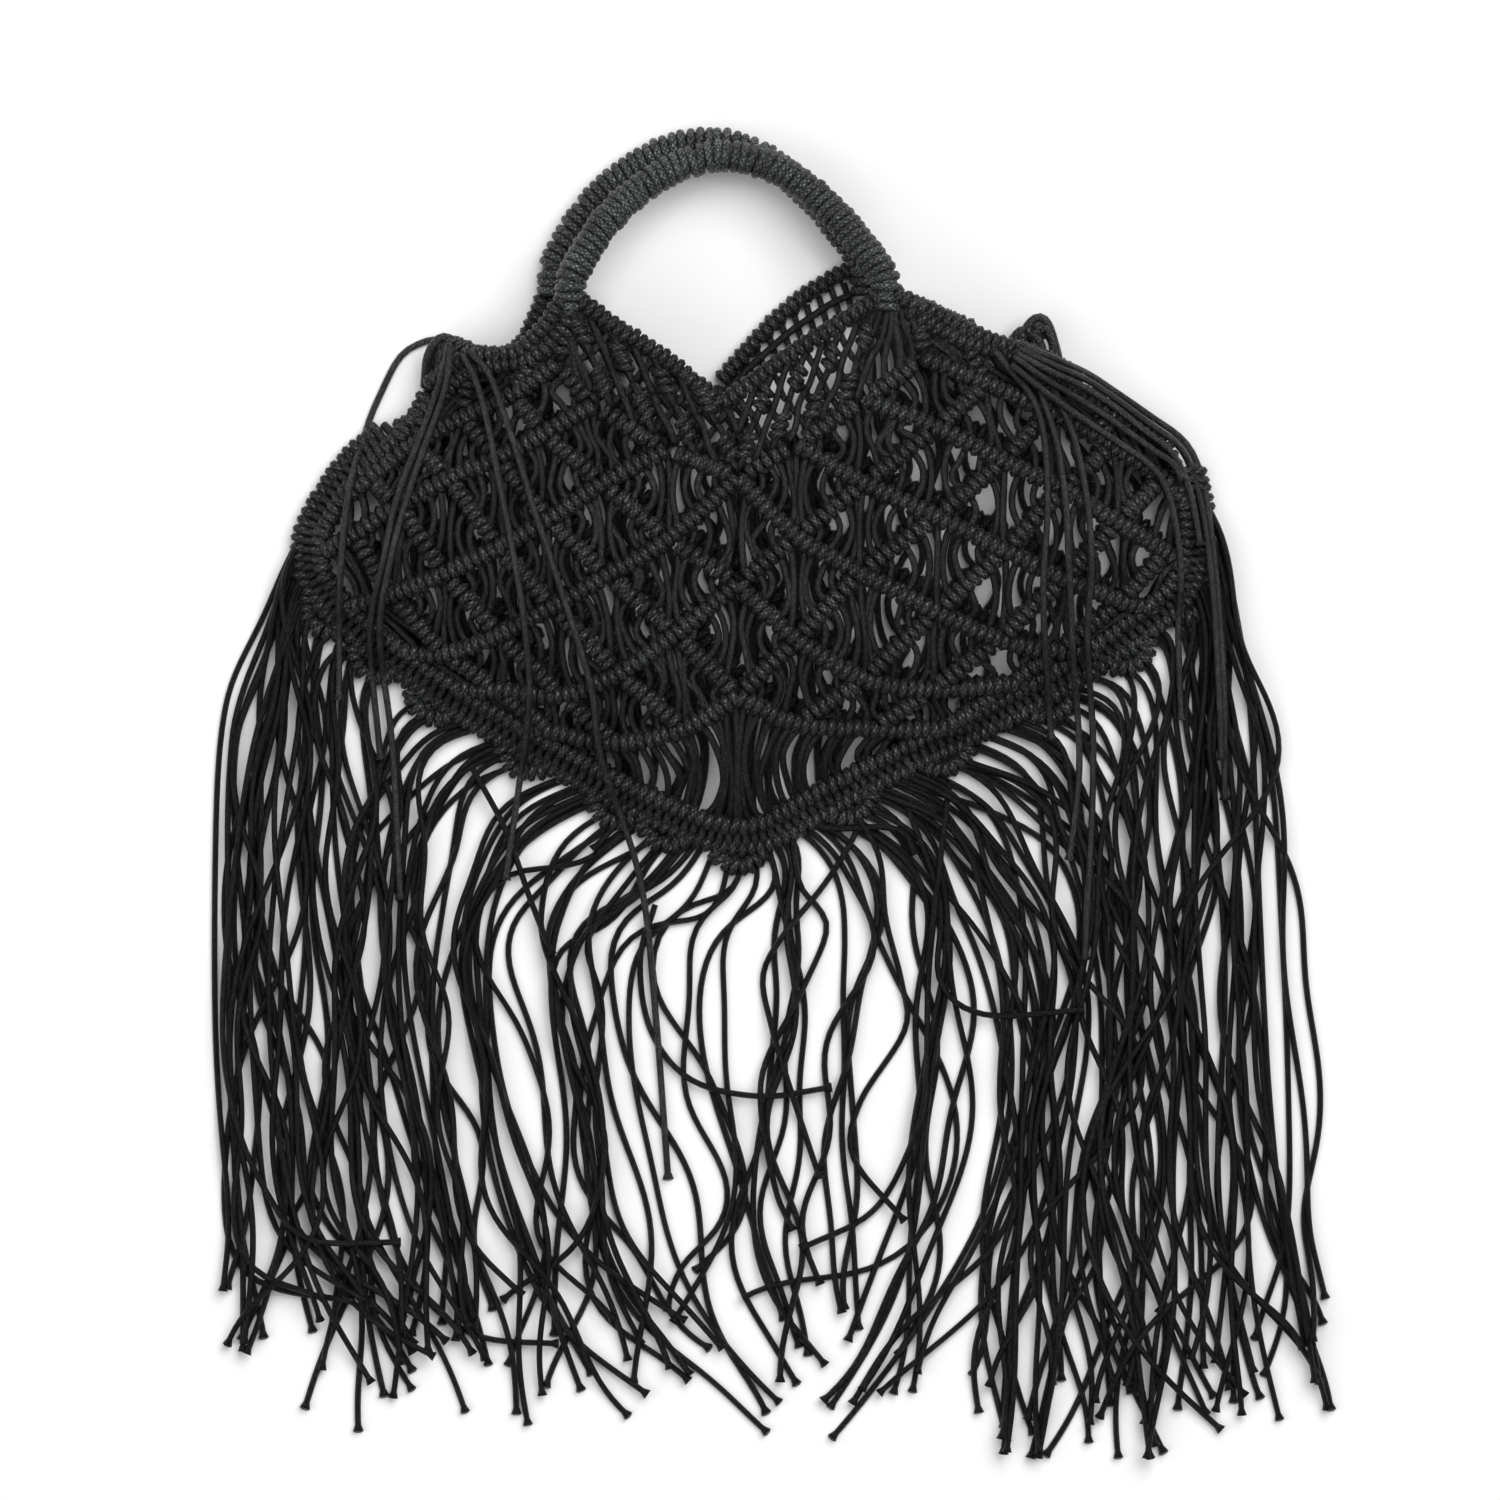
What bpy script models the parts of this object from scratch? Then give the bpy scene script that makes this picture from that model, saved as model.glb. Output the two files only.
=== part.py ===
"""Knotted cord tote bag with a long fringe, lying on its back panel.

Metres, +Z up. The handles point along +Y and the fringe along -Y. The bag rests on z = 0, and the
origin is under the middle of its box.
"""
import math

import bmesh
import bpy
from mathutils import Vector

# Sizes of the net body
HALF_WIDTH = 0.1755     # middle line of the lattice to a side corner
BODY_HEIGHT = 0.2165    # bottom point of the net to the feet of the handles
NET_WALL = 0.005        # knotted wall, two cords deep
RIB_WIDTH = 0.0072      # a hitched rib of the lattice
BORDER = 0.0075         # closed margin inside the outline
CROWN = 0.032           # rise of the front panel over the hollow
CROWN_REACH = 0.075     # distance from the seam at which the front panel stops rising
BACK_SHIFT_X = -0.0075  # how far the top of the back panel lies beside the front one
BACK_SHIFT_Y = 0.006
LEAN_FROM = 0.82        # share of the height above which the back panel is shifted

# Sizes of the handles
HANDLE_THICK = 0.013
HANDLE_RISE = 0.053     # feet to the top of the arch, on its centre line
FOOT_SHARE = {"left": -0.369, "right": 0.327}   # of HALF_WIDTH
FOOT_HEIGHT = 0.985     # of BODY_HEIGHT
FOOT_SEAT = 0.016       # width of the flat edge under a foot

# Sizes of the gathers and the fringe
GATHER_LENGTH = 0.020
GATHER_DEPTH = 0.010
GATHER_HEIGHT = 0.0125
GATHER_ROUND = 0.0035
HEAD_THICK = 0.008      # the outer binding that the fringe hangs from
FRINGE_DROP = 0.242     # bottom point of the net to the lowest cord end
LOCK_WIDTH = 0.0155
LOCK_HEIGHT = 0.010
LOCK_LIFT = 0.0002      # each lock lies this much higher than its neighbour

# Clearance between pieces
GAP = 0.0003

# Smoothness
HEAD_STEP = 0.011
WELD_DISTANCE = 0.00001
SHARP_ANGLE = math.radians(50)   # edges sharper than this stay sharp
ARCH_STEPS = 3
LOCK_STEPS = 5

# Front outline, clockwise from the notch. Columns: share of HALF_WIDTH, share of BODY_HEIGHT.
TOP_RIGHT = ((-0.04, 0.814), (0.115, 0.892), (0.227, 0.945))
SHOULDER_RIGHT = ((0.48, 0.935), (0.593, 0.886))
SHOULDER_LEFT = ((-0.518, 0.861), (-0.462, 0.897))
TOP_LEFT = ((-0.25, 0.925), (-0.162, 0.879), (-0.1, 0.848))
GATHER_SHARE = {"left": -0.636, "right": 0.68}  # middle of each gather, of HALF_WIDTH
GATHER_SEAT = 0.883                              # of BODY_HEIGHT

# The seam, from the right gather round the bottom point to the left one. Columns as above.
SEAM = (
    (0.771, 0.825), (0.871, 0.784), (0.955, 0.735), (1.005, 0.649), (1.018, 0.545), (0.99, 0.455),
    (0.905, 0.392), (0.76, 0.310), (0.604, 0.238), (0.404, 0.159), (0.204, 0.076), (0.016, 0.004),
    (-0.196, 0.058), (-0.396, 0.144), (-0.596, 0.234), (-0.751, 0.321), (-0.875, 0.404),
    (-0.945, 0.476), (-0.948, 0.552), (-0.905, 0.618), (-0.844, 0.684), (-0.762, 0.745),
    (-0.715, 0.812),
)

# Knots where the ribs cross, on each half. A row is one rib running outward and down, and its first
# knot lies on the short rib whose number stands first. Columns: distance from the middle line as a
# share of HALF_WIDTH, share of BODY_HEIGHT.
RIGHT_RIBS = (
    (0, ((0.40, 0.94), (0.50, 0.895), (0.65, 0.86), (0.79, 0.785))),
    (0, ((0.41, 0.865), (0.55, 0.82), (0.69, 0.77), (0.83, 0.71), (0.94, 0.65))),
    (0, ((0.28, 0.79), (0.44, 0.74), (0.59, 0.68), (0.72, 0.63), (0.84, 0.57), (0.95, 0.52))),
    (0, ((0.13, 0.71), (0.28, 0.64), (0.44, 0.58), (0.59, 0.52), (0.72, 0.47), (0.85, 0.43))),
    (0, ((0.0, 0.65), (0.13, 0.545), (0.27, 0.48), (0.44, 0.41), (0.58, 0.36), (0.71, 0.34))),
    (1, ((0.0, 0.46), (0.13, 0.36), (0.28, 0.29), (0.43, 0.27), (0.60, 0.28))),
    (2, ((0.0, 0.26), (0.13, 0.21), (0.30, 0.20), (0.46, 0.20))),
    (3, ((0.0, 0.04), (0.20, 0.10))),
)
LEFT_RIBS = (
    (0, ((0.37, 0.935), (0.455, 0.865), (0.59, 0.845), (0.69, 0.775))),
    (0, ((0.40, 0.855), (0.50, 0.80), (0.61, 0.76), (0.72, 0.71), (0.82, 0.65))),
    (0, ((0.32, 0.78), (0.43, 0.73), (0.53, 0.685), (0.64, 0.65), (0.75, 0.60), (0.85, 0.55))),
    (0, ((0.16, 0.70), (0.30, 0.64), (0.42, 0.575), (0.53, 0.525), (0.65, 0.48), (0.77, 0.44))),
    (0, ((0.0, 0.65), (0.155, 0.54), (0.29, 0.475), (0.41, 0.42), (0.53, 0.37), (0.65, 0.335))),
    (1, ((0.0, 0.46), (0.138, 0.37), (0.265, 0.30), (0.39, 0.26), (0.53, 0.27))),
    (2, ((0.0, 0.26), (0.12, 0.20), (0.27, 0.175), (0.41, 0.195))),
    (3, ((0.0, 0.04), (0.20, 0.095))),
)
MIDDLE_ROW = 4          # the row of the highest knot on the middle line

# Band under the rim of the notch, its right and its left arm. Columns: HALF_WIDTH, height of the rib
# below the band and height of the rim above it, of BODY_HEIGHT.
BANDS = (
    ((0.0, 0.665, 0.815), (0.075, 0.705, 0.85), (0.15, 0.745, 0.89), (0.225, 0.78, 0.92),
     (0.3, 0.815, 0.955)),
    ((-0.04, 0.665, 0.795), (-0.11, 0.69, 0.832), (-0.18, 0.73, 0.868), (-0.25, 0.77, 0.903),
     (-0.32, 0.815, 0.94)),
)

# Arch of a handle. Columns: share of half its span, share of HANDLE_RISE.
ARCH = ((-1.0, 0.0), (-1.0, 0.08), (-0.86, 0.38), (-0.64, 0.68), (-0.32, 0.92), (0.02, 1.0),
        (0.38, 0.86), (0.7, 0.54), (0.92, 0.22), (1.0, 0.07), (1.0, 0.0))

# Where the head is divided, as shares of the way round it from the left gather
HEAD_CUTS = (("fringe_left", 0.02, 0.412), ("fringe_centre", 0.412, 0.572),
             ("fringe_right", 0.572, 0.98))

# Locks of the fringe. Columns: share of the way round the head, places of belly, knee and tip as
# shares of HALF_WIDTH, drop of the tip as a share of FRINGE_DROP, thickness as a share of LOCK_WIDTH.
LOCKS = (
    (0.125, -1.107, -1.08, -1.05, 0.80, 1.0),
    (0.150, -1.03, -0.99, -0.93, 0.80, 1.0),
    (0.170, -0.95, -0.90, -0.81, 0.84, 1.0),
    (0.190, -0.87, -0.82, -0.80, 0.94, 1.0),
    (0.236, -0.79, -0.72, -0.64, 0.80, 1.0),
    (0.268, -0.71, -0.62, -0.51, 0.81, 1.0),
    (0.315, -0.62, -0.52, -0.43, 0.91, 0.9),
    (0.359, -0.51, -0.40, -0.29, 0.83, 0.85),
    (0.400, -0.40, -0.30, -0.14, 0.88, 0.8),
    (0.440, -0.26, -0.18, 0.05, 0.935, 0.7),
    (0.485, -0.09, -0.01, -0.04, 0.76, 0.6),
    (0.517, 0.11, 0.07, 0.15, 0.87, 0.6),
    (0.553, 0.31, 0.26, 0.19, 0.80, 0.6),
    (0.592, 0.47, 0.42, 0.27, 0.90, 0.7),
    (0.627, 0.59, 0.54, 0.43, 0.935, 0.85),
    (0.655, 0.68, 0.65, 0.59, 0.97, 0.9),
    (0.700, 0.77, 0.74, 0.71, 0.99, 1.0),
    (0.738, 0.85, 0.84, 0.83, 0.97, 1.0),
    (0.777, 0.93, 0.94, 0.98, 0.97, 1.0),
    (0.818, 1.01, 1.03, 1.10, 0.92, 1.0),
    (0.848, 1.08, 1.10, 1.22, 0.91, 0.9),
    (0.875, 1.13, 1.17, 1.30, 0.82, 0.8),
)
LOCK_SPREAD = 0.07      # how strongly a lock arches out of the head
LOCK_SUNK = 0.0015      # how far its root lies inside the head's centre line
BELLY_DROP = 0.2        # drop of the belly and the knee, as shares of FRINGE_DROP
KNEE_DROP = 0.6
# Form of a lock along its way. Columns: share of the way, share of its width, of its height.
LOCK_FORM = ((0.0, 0.45, 0.6), (0.12, 0.6, 0.7), (0.35, 1.0, 0.95), (0.55, 1.0, 1.0),
             (0.8, 0.85, 0.8), (1.0, 0.5, 0.5))
# Section of a lock. Columns: share of half its width, share of its height.
LOCK_SECTION = ((-1.0, 0.0), (-0.85, 0.65), (-0.35, 1.0), (0.35, 1.0), (0.85, 0.65), (1.0, 0.0))

CORD_COLOUR = {"net_cord": (0.018, 0.021, 0.021, 1.0), "handle_cord": (0.024, 0.028, 0.027, 1.0),
               "fringe_cord": (0.013, 0.015, 0.015, 1.0)}
CORD_ROUGHNESS = 0.55


def clear_scene():
    for old in list(bpy.data.objects):
        bpy.data.objects.remove(old, do_unlink=True)


def new_collection(name):
    made = bpy.data.collections.new(name)
    bpy.context.scene.collection.children.link(made)
    return made


def cord_material(name):
    made = bpy.data.materials.new(name)
    made.use_nodes = True
    shader = made.node_tree.nodes["Principled BSDF"]
    shader.inputs["Base Color"].default_value = CORD_COLOUR[name]
    shader.inputs["Roughness"].default_value = CORD_ROUGHNESS
    shader.inputs["Metallic"].default_value = 0.0
    return made


def in_metres(rows):
    return [Vector((across * HALF_WIDTH, up * BODY_HEIGHT)) for across, up in rows]


def smooth_step(share):
    share = min(max(share, 0.0), 1.0)
    return share * share * (3.0 - 2.0 * share)


def leaned(point):
    """A point of the back panel: its top lies a little beside the front one's."""
    lean = smooth_step((point.y / BODY_HEIGHT - LEAN_FROM) / (1.0 - LEAN_FROM))
    return Vector((point.x + BACK_SHIFT_X * lean, point.y + BACK_SHIFT_Y * lean))


def seat(middle_share, height_share, width):
    """The two ends of a flat edge that something stands on, left end first."""
    middle = Vector((middle_share * HALF_WIDTH, height_share * BODY_HEIGHT))
    half = Vector((width / 2, 0.0))
    return [middle - half, middle + half]


def front_outline():
    foot_left = seat(FOOT_SHARE["left"], FOOT_HEIGHT, FOOT_SEAT)
    foot_right = seat(FOOT_SHARE["right"], FOOT_HEIGHT, FOOT_SEAT)
    gather_left = seat(GATHER_SHARE["left"], GATHER_SEAT, GATHER_LENGTH)
    gather_right = seat(GATHER_SHARE["right"], GATHER_SEAT, GATHER_LENGTH)
    return (in_metres(TOP_RIGHT) + foot_right + in_metres(SHOULDER_RIGHT) + gather_right
            + in_metres(SEAM) + gather_left + in_metres(SHOULDER_LEFT) + foot_left
            + in_metres(TOP_LEFT))


def distance_to_path(point, path):
    best = float("inf")
    for start, end in zip(path, path[1:]):
        run = end - start
        share = min(max((point - start).dot(run) / run.length_squared, 0.0), 1.0)
        best = min(best, (start + run * share - point).length)
    return best


def crown_height(point, seam):
    """Underside of the front panel above the floor."""
    share = min(distance_to_path(point, seam) / CROWN_REACH, 1.0)
    return NET_WALL + GAP + CROWN * (1.0 - (1.0 - share) ** 2)


def inset(corners, width):
    """A convex outline moved inwards by a width, with a point in the middle of each side too."""
    count = len(corners)
    middle = sum(corners, Vector((0.0, 0.0))) / count
    lines = []
    for start, end in zip(corners, corners[1:] + corners[:1]):
        along = (end - start).normalized()
        inward = Vector((-along.y, along.x))
        if inward.dot(middle - start) < 0:
            inward = -inward
        lines.append((start + inward * width, along))
    moved = []
    for (first, along_1), (second, along_2) in zip(lines[-1:] + lines[:-1], lines):
        turn = along_1.x * along_2.y - along_1.y * along_2.x
        offset = second - first
        moved.append(first + along_1 * ((offset.x * along_2.y - offset.y * along_2.x) / turn))
    hole = []
    for here, following in zip(moved, moved[1:] + moved[:1]):
        hole += [here, (here + following) / 2]
    return hole


def knot(ribs, row, column):
    """A crossing, counted as if it lay on the right half, or None where that rib has none."""
    first, places = ribs[row]
    if not first <= column < first + len(places):
        return None
    return in_metres(places[column - first:column - first + 1])[0]


def mirrored(point):
    return Vector((-point.x, point.y))


def half_cells(ribs):
    """Cells of one half, each as its four corners in order."""
    cells = []
    for row in range(len(ribs) - 1):
        for column in range(max(first + len(places) for first, places in ribs)):
            corners = [knot(ribs, row, column), knot(ribs, row, column + 1),
                       knot(ribs, row + 1, column + 1), knot(ribs, row + 1, column)]
            if all(corner is not None for corner in corners):
                cells.append(corners)
    return cells


def band_cells():
    """Slots of the band under the rim, along both arms of the notch."""
    cells = []
    for arm in BANDS:
        for (x_1, low_1, high_1), (x_2, low_2, high_2) in zip(arm, arm[1:]):
            cells.append(in_metres(((x_1, low_1), (x_1, high_1), (x_2, high_2), (x_2, low_2))))
    return cells


def middle_cells():
    """Diamonds on the middle line, between the first knots of two ribs."""
    cells = []
    for row in range(MIDDLE_ROW, len(RIGHT_RIBS) - 1):
        first = RIGHT_RIBS[row][0]
        cells.append([knot(RIGHT_RIBS, row, first), knot(RIGHT_RIBS, row, first + 1),
                      knot(RIGHT_RIBS, row + 1, first + 1),
                      mirrored(knot(LEFT_RIBS, row, first + 1))])
    return cells


def net_holes(outline):
    """Every gap of the net, kept a border's width inside the outline."""
    left = [[mirrored(corner) for corner in cell] for cell in half_cells(LEFT_RIBS)]
    cells = half_cells(RIGHT_RIBS) + middle_cells() + band_cells() + left
    edge = outline + outline[:1]
    holes = []
    for cell in cells:
        hole = inset(cell, RIB_WIDTH / 2)
        if min(distance_to_path(point, edge) for point in hole) > BORDER / 2:
            holes.append(hole)
    return holes


def flat_sheet(name, outlines):
    """A flat sheet with holes, from a filled 2D curve, made a mesh and welded."""
    curve = bpy.data.curves.new(name, "CURVE")
    curve.dimensions = "2D"
    curve.fill_mode = "BOTH"
    curve.extrude = NET_WALL / 2
    for outline in outlines:
        spline = curve.splines.new("POLY")
        spline.points.add(len(outline) - 1)
        spline.use_cyclic_u = True
        for place, point in zip(spline.points, outline):
            place.co = (point.x, point.y, 0.0, 1.0)
    return mesh_from_curve(name, curve)


def mesh_from_curve(name, curve):
    guide = bpy.data.objects.new(name + "_curve", curve)
    bpy.context.scene.collection.objects.link(guide)
    graph = bpy.context.evaluated_depsgraph_get()
    mesh = bpy.data.meshes.new_from_object(guide.evaluated_get(graph))
    mesh.name = name
    bpy.data.objects.remove(guide, do_unlink=True)
    work = bmesh.new()
    work.from_mesh(mesh)
    bmesh.ops.remove_doubles(work, verts=work.verts, dist=WELD_DISTANCE)
    bmesh.ops.recalc_face_normals(work, faces=work.faces)
    work.to_mesh(mesh)
    work.free()
    return mesh


def add_part(name, mesh, collection, material):
    made = bpy.data.objects.new(name, mesh)
    collection.objects.link(made)
    made.data.materials.append(material)
    return made


def make_panel(name, outline, holes, rise, collection, material):
    mesh = flat_sheet(name, [outline] + holes)
    for vertex in mesh.vertices:
        lift = rise(Vector((vertex.co.x, vertex.co.y)))
        vertex.co.z += NET_WALL / 2 + lift
    return add_part(name, mesh, collection, material)


def smooth_path(points, steps, leaves=None):
    """Points on a smooth curve through the given ones, which may leave the first one as told."""
    leaves = points[1] - points[0] if leaves is None else leaves
    ends = [points[1] - leaves * 2] + list(points) + [points[-1] * 2 - points[-2]]
    path = []
    for before, start, end, after in zip(ends, ends[1:], ends[2:], ends[3:]):
        for step in range(steps):
            share = step / steps
            path.append(0.5 * (2 * start + (end - before) * share
                               + (2 * before - 5 * start + 4 * end - after) * share ** 2
                               + (3 * start - before - 3 * end + after) * share ** 3))
    return path + [points[-1].copy()]


def tube_mesh(name, path, thickness):
    curve = bpy.data.curves.new(name, "CURVE")
    curve.dimensions = "3D"
    curve.bevel_depth = thickness / 2
    curve.bevel_resolution = 2
    curve.use_fill_caps = True
    spline = curve.splines.new("POLY")
    spline.points.add(len(path) - 1)
    for place, point in zip(spline.points, path):
        place.co = (point.x, point.y, point.z, 1.0)
    mesh = mesh_from_curve(name, curve)
    mesh.shade_smooth()
    mesh.set_sharp_from_angle(angle=SHARP_ANGLE)
    return mesh


def make_handle(name, shift, foot_z, top_z, collection, material):
    feet = [shift(Vector((FOOT_SHARE[side] * HALF_WIDTH, FOOT_HEIGHT * BODY_HEIGHT)))
            for side in ("left", "right")]
    middle = (feet[0] + feet[1]) / 2
    half_span = (feet[1].x - feet[0].x) / 2
    points = []
    for across, up in ARCH:
        height = foot_z + (top_z - foot_z) * smooth_step(up)
        points.append(Vector((middle.x + half_span * across,
                              middle.y + GAP + HANDLE_RISE * up, height)))
    points[0].z = points[1].z
    points[-1].z = points[-2].z
    path = points[:1] + smooth_path(points[1:-1], ARCH_STEPS) + points[-1:]
    return add_part(name, tube_mesh(name, path, HANDLE_THICK), collection, material)


def make_gather(side, collection, material):
    """The tie at a top corner: a rounded bundle of cords on the flat edge of both panels."""
    bpy.ops.mesh.primitive_cube_add(size=1.0)
    bundle = bpy.context.object
    bundle.name = side + "_gather"
    bundle.data.name = bundle.name
    middle = Vector((GATHER_SHARE[side] * HALF_WIDTH, GATHER_SEAT * BODY_HEIGHT))
    for vertex in bundle.data.vertices:
        vertex.co.x = middle.x + vertex.co.x * GATHER_LENGTH
        vertex.co.y = leaned(middle).y + GAP + (vertex.co.y + 0.5) * GATHER_DEPTH
        vertex.co.z = (vertex.co.z + 0.5) * GATHER_HEIGHT
    for holder in list(bundle.users_collection):
        holder.objects.unlink(bundle)
    collection.objects.link(bundle)
    bundle.data.materials.append(material)
    rounding = bundle.modifiers.new("rounding", "BEVEL")
    rounding.width = GATHER_ROUND
    rounding.segments = 3
    return bundle


def head_line():
    """Centre line of the outer binding, from the left gather round to the right one."""
    seam = in_metres(SEAM)[::-1]
    reach = HEAD_THICK / 2 + GAP
    line = []
    for number, point in enumerate(seam):
        before = seam[max(number - 1, 0)]
        after = seam[min(number + 1, len(seam) - 1)]
        inner = (point - before).normalized() if number else (after - point).normalized()
        outer = (after - point).normalized() if after != point else inner
        along = (inner + outer).normalized()
        outward = Vector((along.y, -along.x))
        outward = -outward if outward.dot(point - seam_middle()) < 0 else outward
        line.append(point + outward * (reach / along.dot(inner)))
    return line


def seam_middle():
    return Vector((0.0, BODY_HEIGHT / 2))


def way_round(line, share):
    """The point that lies at a share of a line's length, and the direction there."""
    lengths = [(end - start).length for start, end in zip(line, line[1:])]
    rest = share * sum(lengths)
    for start, end, length in zip(line, line[1:], lengths):
        if rest <= length:
            return start.lerp(end, rest / length), (end - start).normalized()
        rest -= length
    return line[-1].copy(), (line[-1] - line[-2]).normalized()


def head_path(line, start, end):
    """The stretch of the line between two shares of its length, with the corners on the way."""
    spans = [(after - before).length for before, after in zip(line, line[1:])]
    corners = [sum(spans[:number]) / sum(spans) for number in range(len(line))]
    margin = GAP / 2 / sum(spans)
    clear = HEAD_THICK / 2 / sum(spans)
    first, last = start + margin, end - margin
    inner = [share for share in corners if first + clear < share < last - clear]
    stops = [first] + inner + [last]
    path = []
    for before, after in zip(stops, stops[1:]):
        steps = math.ceil((after - before) * sum(spans) / HEAD_STEP)
        for number in range(steps):
            path.append(way_round(line, before + (after - before) * number / steps)[0])
    path.append(way_round(line, last)[0])
    return [Vector((point.x, point.y, (HEAD_THICK + LOCK_LIFT) / 2)) for point in path]


def lock_route(line, root_share, belly, knee, tip, drop):
    root, along = way_round(line, root_share)
    outward = Vector((along.y, -along.x))
    if outward.dot(root - seam_middle()) < 0:
        outward = -outward
    points = [root - outward * LOCK_SUNK,
              Vector((belly * HALF_WIDTH, -BELLY_DROP * FRINGE_DROP)),
              Vector((knee * HALF_WIDTH, -KNEE_DROP * FRINGE_DROP)),
              Vector((tip * HALF_WIDTH, -drop * FRINGE_DROP))]
    return smooth_path(points, LOCK_STEPS, outward * LOCK_SPREAD)


def form_at(share):
    for (s_1, wide_1, high_1), (s_2, wide_2, high_2) in zip(LOCK_FORM, LOCK_FORM[1:]):
        if share <= s_2:
            part = (share - s_1) / (s_2 - s_1)
            return wide_1 + (wide_2 - wide_1) * part, high_1 + (high_2 - high_1) * part
    return LOCK_FORM[-1][1:]


def lock_mesh(name, route, thickness, lift):
    """A strip of cords with a flat underside and a round back, lofted along its route."""
    work = bmesh.new()
    rings = []
    for number, point in enumerate(route):
        before = route[max(number - 1, 0)]
        after = route[min(number + 1, len(route) - 1)]
        along = (after - before).normalized()
        across = Vector((-along.y, along.x))
        wide, high = form_at(number / (len(route) - 1))
        ring = []
        for side, up in LOCK_SECTION:
            place = point + across * (side * wide * thickness * LOCK_WIDTH / 2)
            ring.append(work.verts.new((place.x, place.y, lift + up * high * LOCK_HEIGHT)))
        rings.append(ring)
    count = len(LOCK_SECTION)
    for first, second in zip(rings, rings[1:]):
        for corner in range(count):
            following = (corner + 1) % count
            work.faces.new((first[corner], first[following], second[following], second[corner]))
    work.faces.new(rings[0])
    work.faces.new(rings[-1])
    bmesh.ops.recalc_face_normals(work, faces=work.faces)
    mesh = bpy.data.meshes.new(name)
    work.to_mesh(mesh)
    work.free()
    return mesh


def make_fringe(collection, guides, material):
    line = head_line()
    for name, start, end in HEAD_CUTS:
        head = add_part(name, tube_mesh(name, head_path(line, start, end), HEAD_THICK),
                        collection, material)
        locks = bpy.data.collections.new(name + "_locks")
        guides.children.link(locks)
        rows = [row for row in LOCKS if start < row[0] < end]
        for number, (root, belly, knee, tip, drop, thickness) in enumerate(rows):
            route = lock_route(line, root, belly, knee, tip, drop)
            lift = LOCK_LIFT * (number % 4)
            mesh = lock_mesh(f"{name}_lock_{number + 1}", route, thickness, lift)
            lock = add_part(mesh.name, mesh, locks, material)
            lock.hide_render = True
            lock.display_type = "WIRE"
        union = head.modifiers.new("locks", "BOOLEAN")
        union.operation = "UNION"
        union.solver = "EXACT"
        union.use_self = True
        union.operand_type = "COLLECTION"
        union.collection = locks


def stand_on_origin(collection):
    """Moves the whole so that the origin lies under the middle of its box."""
    bpy.context.view_layer.update()
    graph = bpy.context.evaluated_depsgraph_get()
    corners = [Vector(corner) for made in collection.objects
               for corner in made.evaluated_get(graph).bound_box]
    low = Vector([min(corner[axis] for corner in corners) for axis in range(3)])
    high = Vector([max(corner[axis] for corner in corners) for axis in range(3)])
    middle = (low + high) / 2
    for made in bpy.data.objects:
        made.location = (-middle.x, -middle.y, -low.z)


def main():
    clear_scene()
    bag = new_collection("knotted_cord_tote_bag")
    guides = new_collection("guides")
    net_cord = cord_material("net_cord")
    handle_cord = cord_material("handle_cord")
    fringe_cord = cord_material("fringe_cord")

    outline = front_outline()
    holes = net_holes(outline)
    seam = in_metres(SEAM)
    make_panel("front_panel", outline, holes, lambda point: crown_height(point, seam),
               bag, net_cord)
    back_outline = [leaned(point) for point in outline]
    back_holes = [[leaned(point) for point in hole] for hole in holes]
    make_panel("back_panel", back_outline, back_holes, lambda point: 0.0, bag, net_cord)

    front_foot_z = NET_WALL + GAP + CROWN + NET_WALL / 2
    front_top_z = HANDLE_THICK * 1.5 + GAP
    make_handle("front_handle", lambda point: point, front_foot_z, front_top_z, bag, handle_cord)
    make_handle("back_handle", leaned, HANDLE_THICK / 2, HANDLE_THICK / 2, bag, handle_cord)

    make_gather("left", bag, net_cord)
    make_gather("right", bag, net_cord)
    make_fringe(bag, guides, fringe_cord)
    stand_on_origin(bag)


main()
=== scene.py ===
"""The finished look of a knotted cord tote bag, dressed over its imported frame."""
import math

import bpy
import numpy as np
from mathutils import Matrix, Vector
from numpy.linalg import norm


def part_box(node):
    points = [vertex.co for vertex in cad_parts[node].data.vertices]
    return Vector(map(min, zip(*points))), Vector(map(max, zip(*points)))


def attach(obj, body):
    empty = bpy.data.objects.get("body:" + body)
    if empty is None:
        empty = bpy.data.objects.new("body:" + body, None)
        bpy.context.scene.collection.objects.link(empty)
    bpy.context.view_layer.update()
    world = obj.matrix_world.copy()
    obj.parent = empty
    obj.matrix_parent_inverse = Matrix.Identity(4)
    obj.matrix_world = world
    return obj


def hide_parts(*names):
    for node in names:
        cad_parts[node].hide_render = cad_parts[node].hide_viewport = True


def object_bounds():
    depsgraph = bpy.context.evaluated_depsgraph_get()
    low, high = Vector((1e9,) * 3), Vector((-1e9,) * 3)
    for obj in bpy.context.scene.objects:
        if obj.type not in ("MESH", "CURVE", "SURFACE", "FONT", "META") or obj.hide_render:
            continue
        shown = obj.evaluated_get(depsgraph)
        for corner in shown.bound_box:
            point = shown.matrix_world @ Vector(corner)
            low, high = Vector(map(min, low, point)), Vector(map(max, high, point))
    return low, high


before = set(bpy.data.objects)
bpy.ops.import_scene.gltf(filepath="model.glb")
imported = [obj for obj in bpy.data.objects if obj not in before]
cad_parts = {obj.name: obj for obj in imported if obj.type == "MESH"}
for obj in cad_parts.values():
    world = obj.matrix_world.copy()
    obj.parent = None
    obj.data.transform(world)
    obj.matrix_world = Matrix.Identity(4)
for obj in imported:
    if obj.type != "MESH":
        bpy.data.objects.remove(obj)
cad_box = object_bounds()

# Sizes of the net, the same as in the part's own source
HALF_WIDTH = 0.1755
BODY_HEIGHT = 0.2165
NET_WALL = 0.005
CROWN = 0.032
CROWN_REACH = 0.075
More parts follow.
